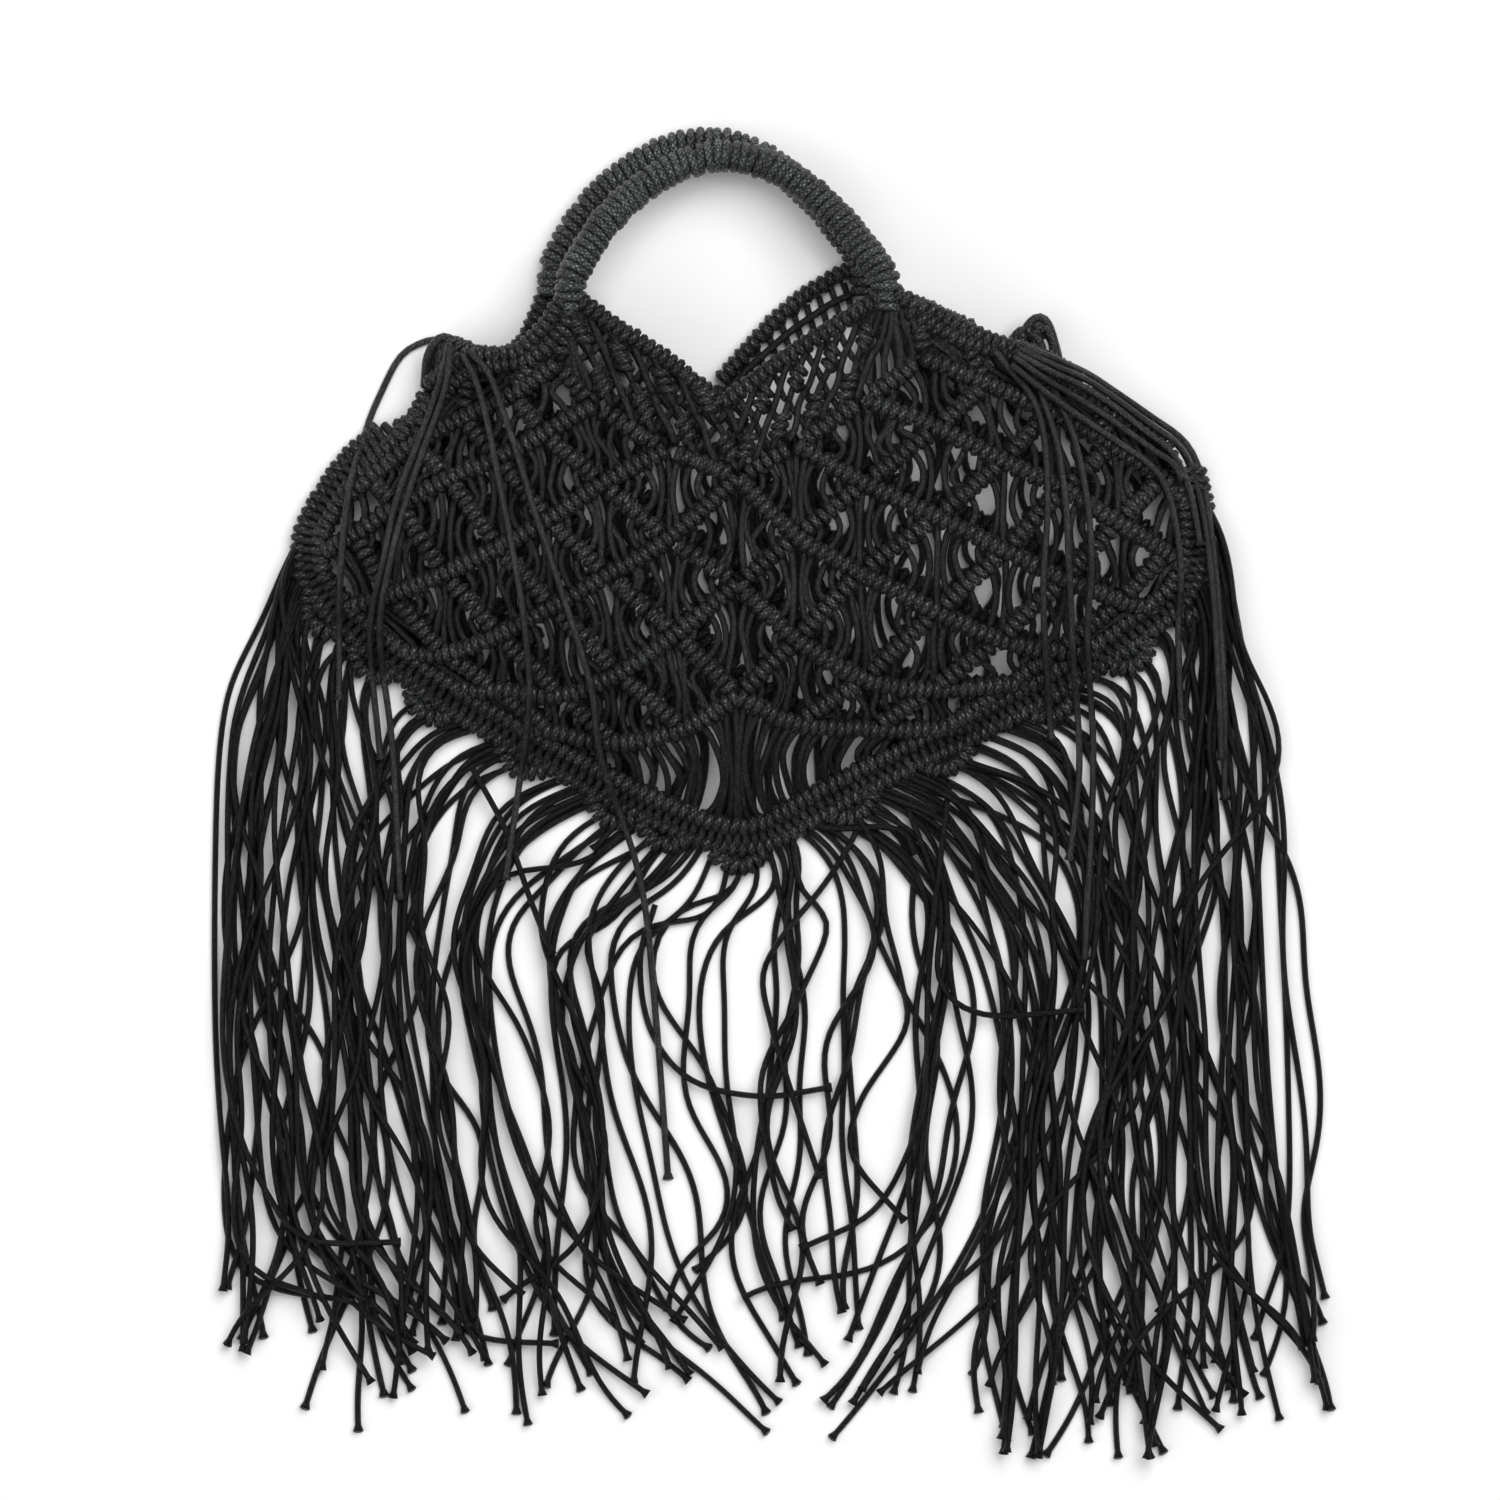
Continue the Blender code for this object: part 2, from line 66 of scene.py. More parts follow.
PIECE_GAP = 0.0003
BACK_SHIFT = np.array([-0.0075, 0.006])
LEAN_FROM = 0.82
HANDLE_THICK = 0.013
HANDLE_RISE = 0.053
HEAD_THICK = 0.008
FRINGE_DROP = 0.242

# Sizes of the cord work
CORD = 0.00175          # half the thickness of a cord
FREE_CORD = 0.00138     # the same where a cord runs free across a cell
STRAND = 0.00118        # and where it hangs in the fringe, stretched thin
CORE = CORD * 1.1       # and of the cord that a rib is hitched over
WRAP_REACH = 0.004     # middle of a rib to the outside of a wrap
WRAP_PITCH = 0.0035
HANDLE_PITCH = 0.0034
RIB_LEAN = 0.06         # lean of the wraps on a long rib, on a short one and along the seam
SHORT_LEAN = -0.05
SEAM_LEAN = 0.12
RIB_SWING = 0.08        # how far the two wraps of a pair lean together
RIB_RISE = 0.0016       # height of the front ribs above the middle of the wall
EDGE_LIFT = 0.0003      # height of rims and the seam's rib above the long ribs
SHORT_LIFT = -0.0005    # and of the short ribs
SEAM_RIB_IN = 0.0042    # from the seam in to its inner rib
KNOT_REACH = 0.0036     # from the middle of a long rib to the end of a short one
BOTTOM_CORDS = 37
BACK_RIB_Z = 0.0042
BACK_SLIP = np.array([0.004, 0.006])    # the two lattices don't lie exactly over each other
CELL_SINK = 0.0016      # depth of the free cords below the ribs
CORD_PRESS = 0.62       # share of a laid cord's thickness that the next one lies above
END_FLARE = 1.75        # how much a cut end is pressed wide
KNOB_Z = 0.0125
BRAID_SCALE = 0.0017    # one scale of the braid, along the cord
BRAID_SHIFT = 0.01      # shift of the braid between cords, at most

# Spacing of the points along a line
RIB_STEP = 0.002
FINE_STEP = 0.001
BAND_STEP = 0.003
SLACK_STEP = 0.0026
LONG_STEP = 0.004
STRAND_STEP = 0.0045

# Spread of the hand work: lean and size of a wrap, and its place beside and along the rib
LEAN_SPREAD = 0.05
SIZE_SPREAD = 0.03
BESIDE_SPREAD = 0.00015
ALONG_SPREAD = 0.00012
NET_SEED = 20
FRINGE_SEED = 3

# Charts in steps go across and down, with ZERO at CHART_MIDDLE and CHART_BOTTOM
CHART_STEP = 0.00039
CHART_MIDDLE = 738.0
CHART_BOTTOM = 840.0
PICTURE = 1500.0        # width and height of the picture, in steps
CAMERA_HEIGHT = 5.0     # above SHARP_LEVEL, where a step measures true
SHARP_LEVEL = 0.015

UP = np.array([0.0, 0.0, 1.0])
chance = np.random.default_rng(NET_SEED)

# Columns: share of HALF_WIDTH, share of BODY_HEIGHT
SEAM = (
    (0.771, 0.825), (0.871, 0.784), (0.955, 0.735), (1.005, 0.649), (1.018, 0.545), (0.99, 0.455),
    (0.905, 0.392), (0.76, 0.31), (0.604, 0.238), (0.404, 0.159), (0.204, 0.076), (0.016, 0.004),
    (-0.196, 0.058), (-0.396, 0.144), (-0.596, 0.234), (-0.751, 0.321), (-0.875, 0.404),
    (-0.945, 0.476), (-0.948, 0.552), (-0.905, 0.618), (-0.844, 0.684), (-0.762, 0.745),
    (-0.715, 0.812),
)
# Bottom point on the net's middle line, from the outermost places of the seam
ZERO = np.array(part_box("front_panel")[0])[:2] - np.min(SEAM, axis=0) * (HALF_WIDTH, BODY_HEIGHT)
NET_CENTRE = ZERO + (0.0, BODY_HEIGHT / 2)
# The net's outline over the top, from the end of the seam back to its start
NET_TOP = ((-0.636, 0.883), (-0.5, 0.87), (-0.369, 0.985), (-0.04, 0.814), (0.327, 0.985),
           (0.68, 0.883))
# Knots of the lattice. A row is one rib running outward and down: number of the short rib that
# its first knot lies on, the knots, and where the rib ends in the seam.
RIGHT_RIBS = (
    (0, ((0.4, 0.94), (0.5, 0.895), (0.65, 0.86), (0.79, 0.785)), (0.93, 0.725)),
    (0, ((0.41, 0.865), (0.55, 0.82), (0.69, 0.77), (0.83, 0.71), (0.94, 0.65)), (0.99, 0.6)),
    (0, ((0.28, 0.79), (0.44, 0.74), (0.59, 0.68), (0.72, 0.63), (0.84, 0.57), (0.95, 0.52)),
     (0.99, 0.49)),
    (0, ((0.13, 0.71), (0.28, 0.64), (0.44, 0.58), (0.59, 0.52), (0.72, 0.47), (0.85, 0.43)),
     (0.93, 0.415)),
    (0, ((0.0, 0.65), (0.13, 0.545), (0.27, 0.48), (0.44, 0.41), (0.58, 0.36), (0.71, 0.34)),
     (0.8, 0.342)),
    (1, ((0.0, 0.46), (0.13, 0.36), (0.28, 0.29), (0.43, 0.27), (0.6, 0.28)), (0.68, 0.285)),
    (2, ((0.0, 0.26), (0.13, 0.21), (0.3, 0.2), (0.46, 0.2)), (0.52, 0.21)),
)
LEFT_RIBS = (
    (0, ((0.37, 0.935), (0.455, 0.865), (0.59, 0.845), (0.69, 0.775)), (0.76, 0.74)),
    (0, ((0.4, 0.855), (0.5, 0.8), (0.61, 0.76), (0.72, 0.71), (0.82, 0.65)), (0.88, 0.61)),
    (0, ((0.32, 0.78), (0.43, 0.73), (0.53, 0.685), (0.64, 0.65), (0.75, 0.6), (0.85, 0.55)),
     (0.92, 0.52)),
    (0, ((0.16, 0.7), (0.3, 0.64), (0.42, 0.575), (0.53, 0.525), (0.65, 0.48), (0.77, 0.44)),
     (0.87, 0.42)),
    (0, ((0.0, 0.65), (0.155, 0.54), (0.29, 0.475), (0.41, 0.42), (0.53, 0.37), (0.65, 0.335)),
     (0.745, 0.34)),
    (1, ((0.0, 0.46), (0.138, 0.37), (0.265, 0.3), (0.39, 0.26), (0.53, 0.27)), (0.63, 0.27)),
    (2, ((0.0, 0.26), (0.12, 0.2), (0.27, 0.175), (0.41, 0.195)), (0.49, 0.205)),
)
MIDDLE_ROW = 4
# Upper ends of the short ribs, by number
RIGHT_TOPS = ((0.365, 0.955), (0.49, 0.93), (0.66, 0.89), (0.8, 0.82), (0.96, 0.71), None)
LEFT_TOPS = ((0.375, 0.955), (0.45, 0.905), (0.6, 0.88), (0.7, 0.81), (0.85, 0.69), None)
# Ribs along the rims of the notch and over the shoulders
RIMS = (
    ((-0.036, 0.782), (0.06, 0.838), (0.145, 0.885), (0.225, 0.927), (0.315, 0.975)),
    ((-0.036, 0.782), (-0.1, 0.824), (-0.162, 0.866), (-0.25, 0.91), (-0.35, 0.968)),
    ((0.345, 0.98), (0.46, 0.935), (0.57, 0.893), (0.67, 0.872), (0.76, 0.83)),
    ((-0.385, 0.97), (-0.44, 0.91), (-0.5, 0.872), (-0.6, 0.868), (-0.69, 0.82)),
)
# Fans of cords under the handles' feet: where they start, and the stretch that they end on
FANS = (
    ((0.345, 0.955), (0.27, 0.79), (0.41, 0.87)),
    ((-0.37, 0.95), (-0.31, 0.785), (-0.4, 0.86)),
)
# Band under the rim, right and left arm. Columns: across, height of its lower and upper edge.
BANDS = (
    ((0.0, 0.665, 0.8), (0.075, 0.7, 0.835), (0.15, 0.735, 0.875), (0.225, 0.77, 0.91),
     (0.3, 0.81, 0.945)),
    ((0.0, 0.665, 0.795), (-0.08, 0.69, 0.825), (-0.16, 0.72, 0.855), (-0.24, 0.755, 0.89),
     (-0.32, 0.8, 0.935), (-0.372, 0.85, 0.955)),
)
# Right arm of the back net's rim, which shows behind the front one, and the band under it
BACK_RIM = ((-0.04, 0.83), (0.035, 0.896), (0.1, 0.952), (0.185, 1.002), (0.25, 1.03))
BACK_BAND = ((-0.04, 0.775, 0.815), (0.05, 0.83, 0.89), (0.116, 0.86, 0.945),
             (0.204, 0.905, 0.995), (0.262, 0.935, 1.015))
BACK_SHOULDER = ((0.36, 0.975), (0.415, 0.962), (0.463, 0.942), (0.515, 0.925), (0.535, 0.893))
# Arch of a handle. Columns: share of half its span, share of HANDLE_RISE.
ARCH = ((-1.0, 0.0), (-1.0, 0.08), (-0.86, 0.38), (-0.64, 0.68), (-0.32, 0.92), (0.02, 1.0),
        (0.38, 0.86), (0.7, 0.54), (0.92, 0.22), (1.0, 0.07), (1.0, 0.0))
FEET = ((-0.369, 0.985), (0.327, 0.985))

# Locks of the fringe, as in the part's source. Columns: share of the way round the binding,
# places of belly, knee and tip in HALF_WIDTH, drop of the tip in FRINGE_DROP, spread.
LOCKS = (
    (0.125, -1.107, -1.08, -1.05, 0.8, 1.0),
    (0.15, -1.03, -0.99, -0.93, 0.8, 1.0),
    (0.17, -0.95, -0.9, -0.81, 0.84, 1.0),
    (0.19, -0.87, -0.82, -0.8, 0.94, 1.0),
    (0.236, -0.79, -0.72, -0.64, 0.8, 1.0),
    (0.268, -0.71, -0.62, -0.51, 0.81, 1.0),
    (0.315, -0.62, -0.52, -0.43, 0.91, 0.9),
    (0.359, -0.51, -0.4, -0.29, 0.83, 0.85),
    (0.4, -0.4, -0.3, -0.14, 0.88, 0.8),
    (0.44, -0.26, -0.18, 0.05, 0.935, 0.7),
    (0.485, -0.09, -0.01, -0.04, 0.76, 0.6),
    (0.517, 0.11, 0.07, 0.15, 0.87, 0.6),
    (0.553, 0.31, 0.26, 0.19, 0.8, 0.6),
    (0.592, 0.47, 0.42, 0.27, 0.9, 0.7),
    (0.627, 0.59, 0.54, 0.43, 0.935, 0.85),
    (0.655, 0.68, 0.65, 0.59, 0.97, 0.9),
    (0.7, 0.77, 0.74, 0.71, 0.99, 1.0),
    (0.738, 0.85, 0.84, 0.83, 0.97, 1.0),
    (0.777, 0.93, 0.94, 0.98, 0.97, 1.0),
    (0.818, 1.01, 1.03, 1.1, 0.92, 1.0),
    (0.848, 1.08, 1.1, 1.22, 0.91, 0.9),
    (0.875, 1.13, 1.17, 1.3, 0.82, 0.8),
)
# Where the fringe is parted into left, centre and right
FRINGE_CUTS = (0.412, 0.572)
# The strands sweep outward from under the bottom edges. For one half of the fringe: share of the
# way round where a lock's strand is planned, and where it leaves the binding.
ROOTS_PLANNED = (0.0, 0.125, 0.19, 0.236, 0.268, 0.315, 0.359, 0.4, 0.44, 0.5)
ROOTS_SWEPT = (0.0, 0.125, 0.215, 0.285, 0.33, 0.38, 0.415, 0.442, 0.466, 0.5)
# Ends of the hitched part of the binding, and the share of it between cords that enter it
BINDING_ENDS = (0.03, 0.905)
ENTRY_PITCH = 0.0062
# Nubs beyond the binding, where cords are bundled before they hang free, in chart steps
NUBS = ((322, 612), (372, 662), (430, 700), (522, 758), (612, 808), (664, 834), (738, 850),
        (862, 826), (950, 762), (1046, 694), (1120, 640), (1180, 590))
# Form of a nub. Columns: share of the way round from its middle, reach out of the binding.
NUB_FORM = ((-0.016, 0.002), (-0.009, 0.0055), (0.0, 0.0075), (0.009, 0.0055), (0.016, 0.002))

# Single strands that stand out, in chart steps
LONE_CORDS = (
    ((655, 905), (640, 960), (650, 1030), (690, 1080), (760, 1097), (832, 1088)),
    ((770, 812), (830, 828), (880, 827), (905, 833), (915, 855)),
    ((640, 800), (618, 822), (604, 838), (592, 850)),
    ((470, 765), (505, 830), (530, 900), (552, 955)),
    ((300, 600), (250, 760), (222, 1000), (235, 1120), (270, 1200), (310, 1240), (400, 1243)),
    ((905, 800), (940, 900), (940, 980), (985, 1015), (1085, 1010)),
    ((950, 780), (930, 960), (925, 1090), (905, 1160), (870, 1215), (800, 1250)),
    ((848, 800), (879, 856), (886, 919), (902, 983), (905, 1031), (860, 1104), (854, 1159),
     (905, 1222)),
    ((790, 820), (800, 884), (822, 913), (825, 939), (797, 1002), (761, 1082), (774, 1184),
     (793, 1232)),
    ((862, 810), (854, 837), (825, 884), (781, 939), (763, 977), (771, 1025), (787, 1079),
     (820, 1180)),
)
# Loose cords tied at the top corners and hanging over the net, in chart steps
LEFT_TIES = (
    ((446, 338), (425, 340), (400, 355), (380, 392), (365, 430), (348, 500), (340, 600),
     (338, 700)),
    ((450, 345), (440, 385), (420, 440), (398, 500), (385, 560), (370, 640), (380, 760)),
    ((452, 348), (446, 390), (428, 440), (408, 500), (392, 560), (380, 640), (392, 750),
     (400, 900)),
    ((462, 352), (478, 385), (490, 430), (500, 480), (512, 540), (525, 620), (530, 700),
     (518, 790), (505, 880)),
    ((470, 352), (490, 375), (505, 415), (520, 460), (535, 510), (552, 560), (590, 680),
     (602, 760), (640, 880), (655, 1010), (668, 1180)),
)
LEFT_LOOPS = (
    ((424, 386), (428, 355), (440, 338), (452, 342), (456, 372)),
    ((434, 390), (440, 356), (450, 340), (463, 346), (467, 378)),
    ((446, 392), (452, 360), (462, 344), (474, 352), (478, 384)),
    ((456, 394), (464, 364), (473, 350), (485, 358), (489, 388)),
    ((468, 394), (476, 370), (484, 357), (495, 365), (498, 390)),
)
RIGHT_LOOPS = (
    ((1000, 386), (1002, 352), (1010, 342), (1022, 350), (1026, 386)),
    ((1010, 390), (1012, 345), (1022, 330), (1032, 338), (1038, 388)),
    ((1022, 392), (1022, 340), (1036, 318), (1050, 328), (1064, 384)),
    ((1030, 392), (1032, 345), (1042, 326), (1052, 340), (1058, 388)),
    ((1018, 392), (1018, 350), (1030, 334), (1042, 348), (1046, 390)),
)
# Rows of knobs over the loops
LEFT_KNOBS = ((444, 345), (456, 345), (468, 349), (480, 356), (492, 367))
RIGHT_KNOBS = ((993, 364), (1008, 350), (1020, 340), (1034, 331))
RIGHT_TIES = (
    ((1027, 352), (1042, 400), (1056, 446), (1064, 502), (1067, 558), (1070, 610), (1073, 660),
     (1080, 760), (1070, 860)),
    ((1036, 352), (1056, 397), (1072, 436), (1082, 480), (1088, 525), (1090, 570), (1087, 640),
     (1094, 760), (1085, 960)),
    ((993, 352), (1012, 375), (1032, 400), (1043, 440), (1046, 506), (1042, 580), (1044, 640),
     (1052, 740)),
    ((1020, 346), (1060, 362), (1090, 374), (1118, 392), (1150, 415), (1182, 437), (1198, 462),
     (1208, 505), (1217, 580), (1224, 690), (1226, 800)),
    ((1018, 350), (1054, 367), (1086, 380), (1116, 399), (1147, 422), (1177, 444), (1192, 469),
     (1203, 512), (1213, 590), (1219, 690), (1222, 760)),
    ((1014, 354), (1048, 372), (1082, 387), (1113, 406), (1143, 430), (1170, 451), (1186, 480),
     (1196, 520), (1200, 545)),
    ((1012, 358), (1044, 380), (1075, 398), (1106, 417), (1134, 437), (1156, 453), (1172, 463),
     (1182, 480)),
    ((1010, 366), (1040, 390), (1072, 413), (1116, 442), (1152, 468), (1168, 495), (1177, 536),
     (1181, 580), (1179, 640), (1182, 720)),
)


def stray(spread):
    return chance.normal(0.0, spread)


def places(points):
    """Shares of the net's half width and height, as metres in the frame."""
    return ZERO + np.array(points) * (HALF_WIDTH, BODY_HEIGHT)


def charted(points):
    """Chart steps as metres in the frame."""
    steps = np.array(points, dtype=float)
    return ZERO + CHART_STEP * np.column_stack([steps[:, 0] - CHART_MIDDLE,
                                                CHART_BOTTOM - steps[:, 1]])


def sided(points, sign):
    """Points of the right half, put on the left one by a sign of -1."""
    return tuple((sign * across, up) for across, up in points)


def raised(line, heights):
    return np.column_stack([line, np.broadcast_to(heights, len(line))])


def smooth_step(share):
    share = np.clip(share, 0.0, 1.0)
    return share * share * (3.0 - 2.0 * share)


def run_lengths(line):
    """Length of a line up to each of its points."""
    return np.concatenate([[0.0], np.cumsum(norm(np.diff(line, axis=0), axis=1))])


def directions(line):
    along = np.gradient(line, axis=0)
    return along / norm(along, axis=1)[:, None]


def smooth_line(points, spacing=RIB_STEP):
    """A curve through the points, with even steps of about the spacing."""
    points = np.asarray(points, dtype=float)
    if len(points) > 2:
        ends = np.vstack([2 * points[0] - points[1], points, 2 * points[-1] - points[-2]])
        share = np.linspace(0.0, 1.0, 12, endpoint=False)[:, None]
        runs = []
        for before, start, end, after in zip(ends, ends[1:], ends[2:], ends[3:]):
            runs.append(0.5 * (2 * start + (end - before) * share
                               + (2 * before - 5 * start + 4 * end - after) * share ** 2
                               + (3 * start - before - 3 * end + after) * share ** 3))
        points = np.vstack(runs + [points[-1:]])
    return even_line(points, spacing)


def even_line(points, spacing=RIB_STEP):
    lengths = run_lengths(points)
    count = max(int(round(lengths[-1] / spacing)), 1) + 1
    stops = np.linspace(0.0, lengths[-1], count)
    return np.column_stack([np.interp(stops, lengths, points[:, axis])
                            for axis in range(points.shape[1])])


seam_line = places(SEAM)


def seam_distance(points):
    best = np.full(len(points), 1e9)
    for start, end in zip(seam_line, seam_line[1:]):
        run = end - start
        share = np.clip((points - start) @ run / (run @ run), 0.0, 1.0)
        best = np.minimum(best, norm(start + share[:, None] * run - points, axis=1))
    return best


def front_surface(points):
    """Height of the middle of the front net's wall."""
    share = np.minimum(seam_distance(points) / CROWN_REACH, 1.0)
    return NET_WALL * 1.5 + PIECE_GAP + CROWN * (1.0 - (1.0 - share) ** 2)


def leaned(points):
    """The top of the back net lies a little beside the front one."""
    lean = smooth_step(((points[:, 1] - ZERO[1]) / BODY_HEIGHT - LEAN_FROM) / (1.0 - LEAN_FROM))
    return points + lean[:, None] * BACK_SHIFT


def on_front(points, lift=0.0):
    return raised(points, front_surface(points) + RIB_RISE + lift)


def on_back_rim(points, lift=0.0):
    return raised(points, np.maximum(BACK_RIB_Z + lift, CORD))


def on_back(points, lift=0.0):
    height = (points[:, 1] - ZERO[1]) / BODY_HEIGHT
    slip = smooth_step(seam_distance(points) / 0.04) * smooth_step((0.85 - height) / 0.15)
    return on_back_rim(leaned(points + slip[:, None] * BACK_SLIP), lift)


def linked(name, data):
    made = bpy.data.objects.new(name, data)
    bpy.context.scene.collection.objects.link(made)
    return made


class CordWork:
    """A pile of cords and wraps that becomes one piece."""

    def __init__(self):
        self.points = []
        self.quads = []
        self.laps = []
        self.tones = []
        self.count = 0

    def add(self, points, quads, laps, tone):
        self.points.append(points)
        self.quads.append(quads + self.count)
        self.laps.append(laps)
        self.tones.append(np.full(len(points), tone))
        self.count += len(points)

    def piece(self, name, finish, slot, stands_for=()):
        points = np.vstack(self.points)
        quads = np.vstack(self.quads)
        mesh = bpy.data.meshes.new(name)
        mesh.vertices.add(len(points))
        mesh.vertices.foreach_set("co", points.ravel())
        mesh.loops.add(quads.size)
        mesh.loops.foreach_set("vertex_index", quads.ravel())
        mesh.polygons.add(len(quads))
        mesh.polygons.foreach_set("loop_start", np.arange(0, quads.size, 4))
        mesh.update(calc_edges=True)
        lap_map = mesh.uv_layers.new(name="cord_run")
        lap_map.uv.foreach_set("vector", np.concatenate([lap.ravel() for lap in self.laps]))
        tone = mesh.attributes.new("cord_tone", "FLOAT", "POINT")
        tone.data.foreach_set("value", np.concatenate(self.tones))
        mesh.shade_smooth()
        mesh.materials.append(finish)
        made = linked(name, mesh)
        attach(made, "root")
        if stands_for:
            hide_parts(*stands_for)


def ring_quads(rings, sides):
    """Quads between neighbouring rings, and flat ends."""
    ring, side = np.meshgrid(np.arange(rings - 1), np.arange(sides), indexing="ij")
    ring, side = ring.ravel(), side.ravel()
    after = (side + 1) % sides
    walls = np.column_stack([ring * sides + side, (ring + 1) * sides + side,
                             (ring + 1) * sides + after, ring * sides + after])
    start = np.array([(0, number, number + 1, number + 2) for number in range(1, sides - 1, 2)])
    end = start[:, ::-1] + (rings - 1) * sides
    return walls, ring, side, np.vstack([start, end])


def sweep(work, path, reach, sides=6):
    """A round cord along a path."""
    along = directions(path)
    beside = np.cross(along, UP)
    beside /= np.maximum(norm(beside, axis=1), 1e-9)[:, None]
    above = np.cross(beside, along)
    reach = np.broadcast_to(reach, len(path))
    turn = np.arange(sides) * 2 * math.pi / sides
    points = (path[:, None, :] + reach[:, None, None]
              * (np.cos(turn)[None, :, None] * beside[:, None, :]
                 + np.sin(turn)[None, :, None] * above[:, None, :])).reshape(-1, 3)
    walls, ring, side, caps = ring_quads(len(path), sides)
    run = run_lengths(path) + chance.uniform(0.0, BRAID_SHIFT)
    laps = np.stack([np.column_stack([run[ring + ahead], (side + beyond) / sides])
                     for ahead, beyond in ((0, 0), (1, 0), (1, 1), (0, 1))], axis=1)
    laps = np.vstack([laps, np.zeros((len(caps), 4, 2))])
    work.add(points, np.vstack([walls, caps]), laps, chance.uniform())


def loop_form(middle_reach, cord_reach, turns, sides, squeeze):
    """One wrap of cord round a rib, modelled as a ring and pressed a little flat."""
    bpy.ops.object.select_all(action="DESELECT")
    bpy.ops.mesh.primitive_torus_add(major_radius=middle_reach, minor_radius=cord_reach,
                                     major_segments=turns, minor_segments=sides)
    ring = bpy.context.object
    bpy.ops.object.mode_set(mode="EDIT")
    bpy.ops.mesh.select_all(action="SELECT")
    bpy.ops.transform.resize(value=(1.0, squeeze, 1.0))
    bpy.ops.object.mode_set(mode="OBJECT")
    mesh = ring.data
    points = np.empty(len(mesh.vertices) * 3)
    mesh.vertices.foreach_get("co", points)
    quads = np.empty(len(mesh.polygons) * 4, dtype=int)
    mesh.loops.foreach_get("vertex_index", quads)
    quads = quads.reshape(-1, 4)
    turn = (quads // sides).astype(float)
    side = (quads % sides).astype(float)
    turn[(turn.max(axis=1) - turn.min(axis=1) > turns / 2)[:, None] & (turn == 0)] = turns
    side[(side.max(axis=1) - side.min(axis=1) > sides / 2)[:, None] & (side == 0)] = sides
    laps = np.stack([turn / turns * 2 * math.pi * middle_reach, side / sides], axis=2)
    bpy.data.objects.remove(ring, do_unlink=True)
    return points.reshape(-1, 3), quads, laps


def wrap_along(work, form, path, pitch, tilt, swing=0.0, stretch=SIZE_SPREAD):
    """Wraps side by side along a path, in pairs that lean together."""
    ring_points, ring_faces, ring_laps = form
    stops = even_line(path, pitch)
    middles = (stops[1:] + stops[:-1]) / 2
    for number, (middle, run) in enumerate(zip(middles, np.diff(stops, axis=0))):
        along = run / norm(run)
        beside = np.cross(along, UP)
        beside /= norm(beside)
        above = np.cross(beside, along)
        pair = 0.5 if number % 2 else -0.5
        lean = tilt + pair * swing + stray(LEAN_SPREAD)
        size = 1.0 + stray(stretch)
        tipped = along * math.cos(lean) + beside * math.sin(lean)
        side = beside * math.cos(lean) - along * math.sin(lean)
        shift = beside * stray(BESIDE_SPREAD) + along * stray(ALONG_SPREAD)
        axes = np.stack([side * size, above * size, tipped])
        laps = ring_laps + np.array([chance.uniform(0.0, BRAID_SHIFT), 0.0])
        work.add(ring_points @ axes + middle + shift, ring_faces, laps, chance.uniform())


def hitched_rib(work, form, line, on_panel, lean, swing=RIB_SWING, lift=0.0):
    """Wraps along a line on the panel, and the cord that they are hitched over."""
    wrap_along(work, form, on_panel(line, lift), WRAP_PITCH, lean, swing)
    sweep(work, on_panel(line), CORE)


def knot(ribs, row, column):
    first, row_places, _ = ribs[row]
    return row_places[column - first] if first <= column < first + len(row_places) else None


def lattice(ribs, tops):
    """Long ribs, short ribs between them and cells (top, right, bottom, left) of one half."""
    long_ribs = [(*row_places, end) for _, row_places, end in ribs]
    short_ribs = []
    for column, top in enumerate(tops):
        knots = [top] + [knot(ribs, row, column) for row in range(len(ribs))]
        short_ribs += [pair for pair in zip(knots, knots[1:]) if all(pair)]
    cells = []
    for row in range(len(ribs) - 1):
        for column in range(7):
            corners = (knot(ribs, row, column), knot(ribs, row, column + 1),
                       knot(ribs, row + 1, column + 1), knot(ribs, row + 1, column))
            if all(corners):
                cells.append(corners)
    return long_ribs, short_ribs, cells


def flipped_cell(cell):
    top, outer, bottom, inner = sided(cell, -1)
    return top, inner, bottom, outer


def middle_cells():
    cells = []
    for row in range(MIDDLE_ROW, len(RIGHT_RIBS) - 1):
        first = RIGHT_RIBS[row][0]
        left, = sided([knot(LEFT_RIBS, row, first + 1)], -1)
        cells.append((knot(RIGHT_RIBS, row, first), knot(RIGHT_RIBS, row, first + 1),
                      knot(RIGHT_RIBS, row + 1, first + 1), left))
    return cells


def shortened(start, end, margin):
    run = end - start
    share = min(margin / norm(run), 0.45)
    return np.array([start + run * share, end - run * share])


def bowed_cord(work, start, end, bow, on_panel, sway=0.0, lift=0.0):
    """A slack cord between two ribs."""
    share = np.array([0.0, 0.14, 0.34, 0.5, 0.66, 0.86, 1.0])[:, None]
    run = end - start
    beside = np.array([-run[1], run[0]]) / norm(run)
    points = (start + run * share + bow * np.sin(math.pi * share) ** 0.7
              + beside * sway * np.sin(2 * math.pi * share))
    line = smooth_line(points, SLACK_STEP)
    rise = np.sin(np.linspace(0.0, math.pi, len(line)))
    heights = lift + chance.uniform(-0.0009, 0.0012) * rise - CELL_SINK
    sweep(work, on_panel(line, heights), FREE_CORD * chance.uniform(0.92, 1.06))


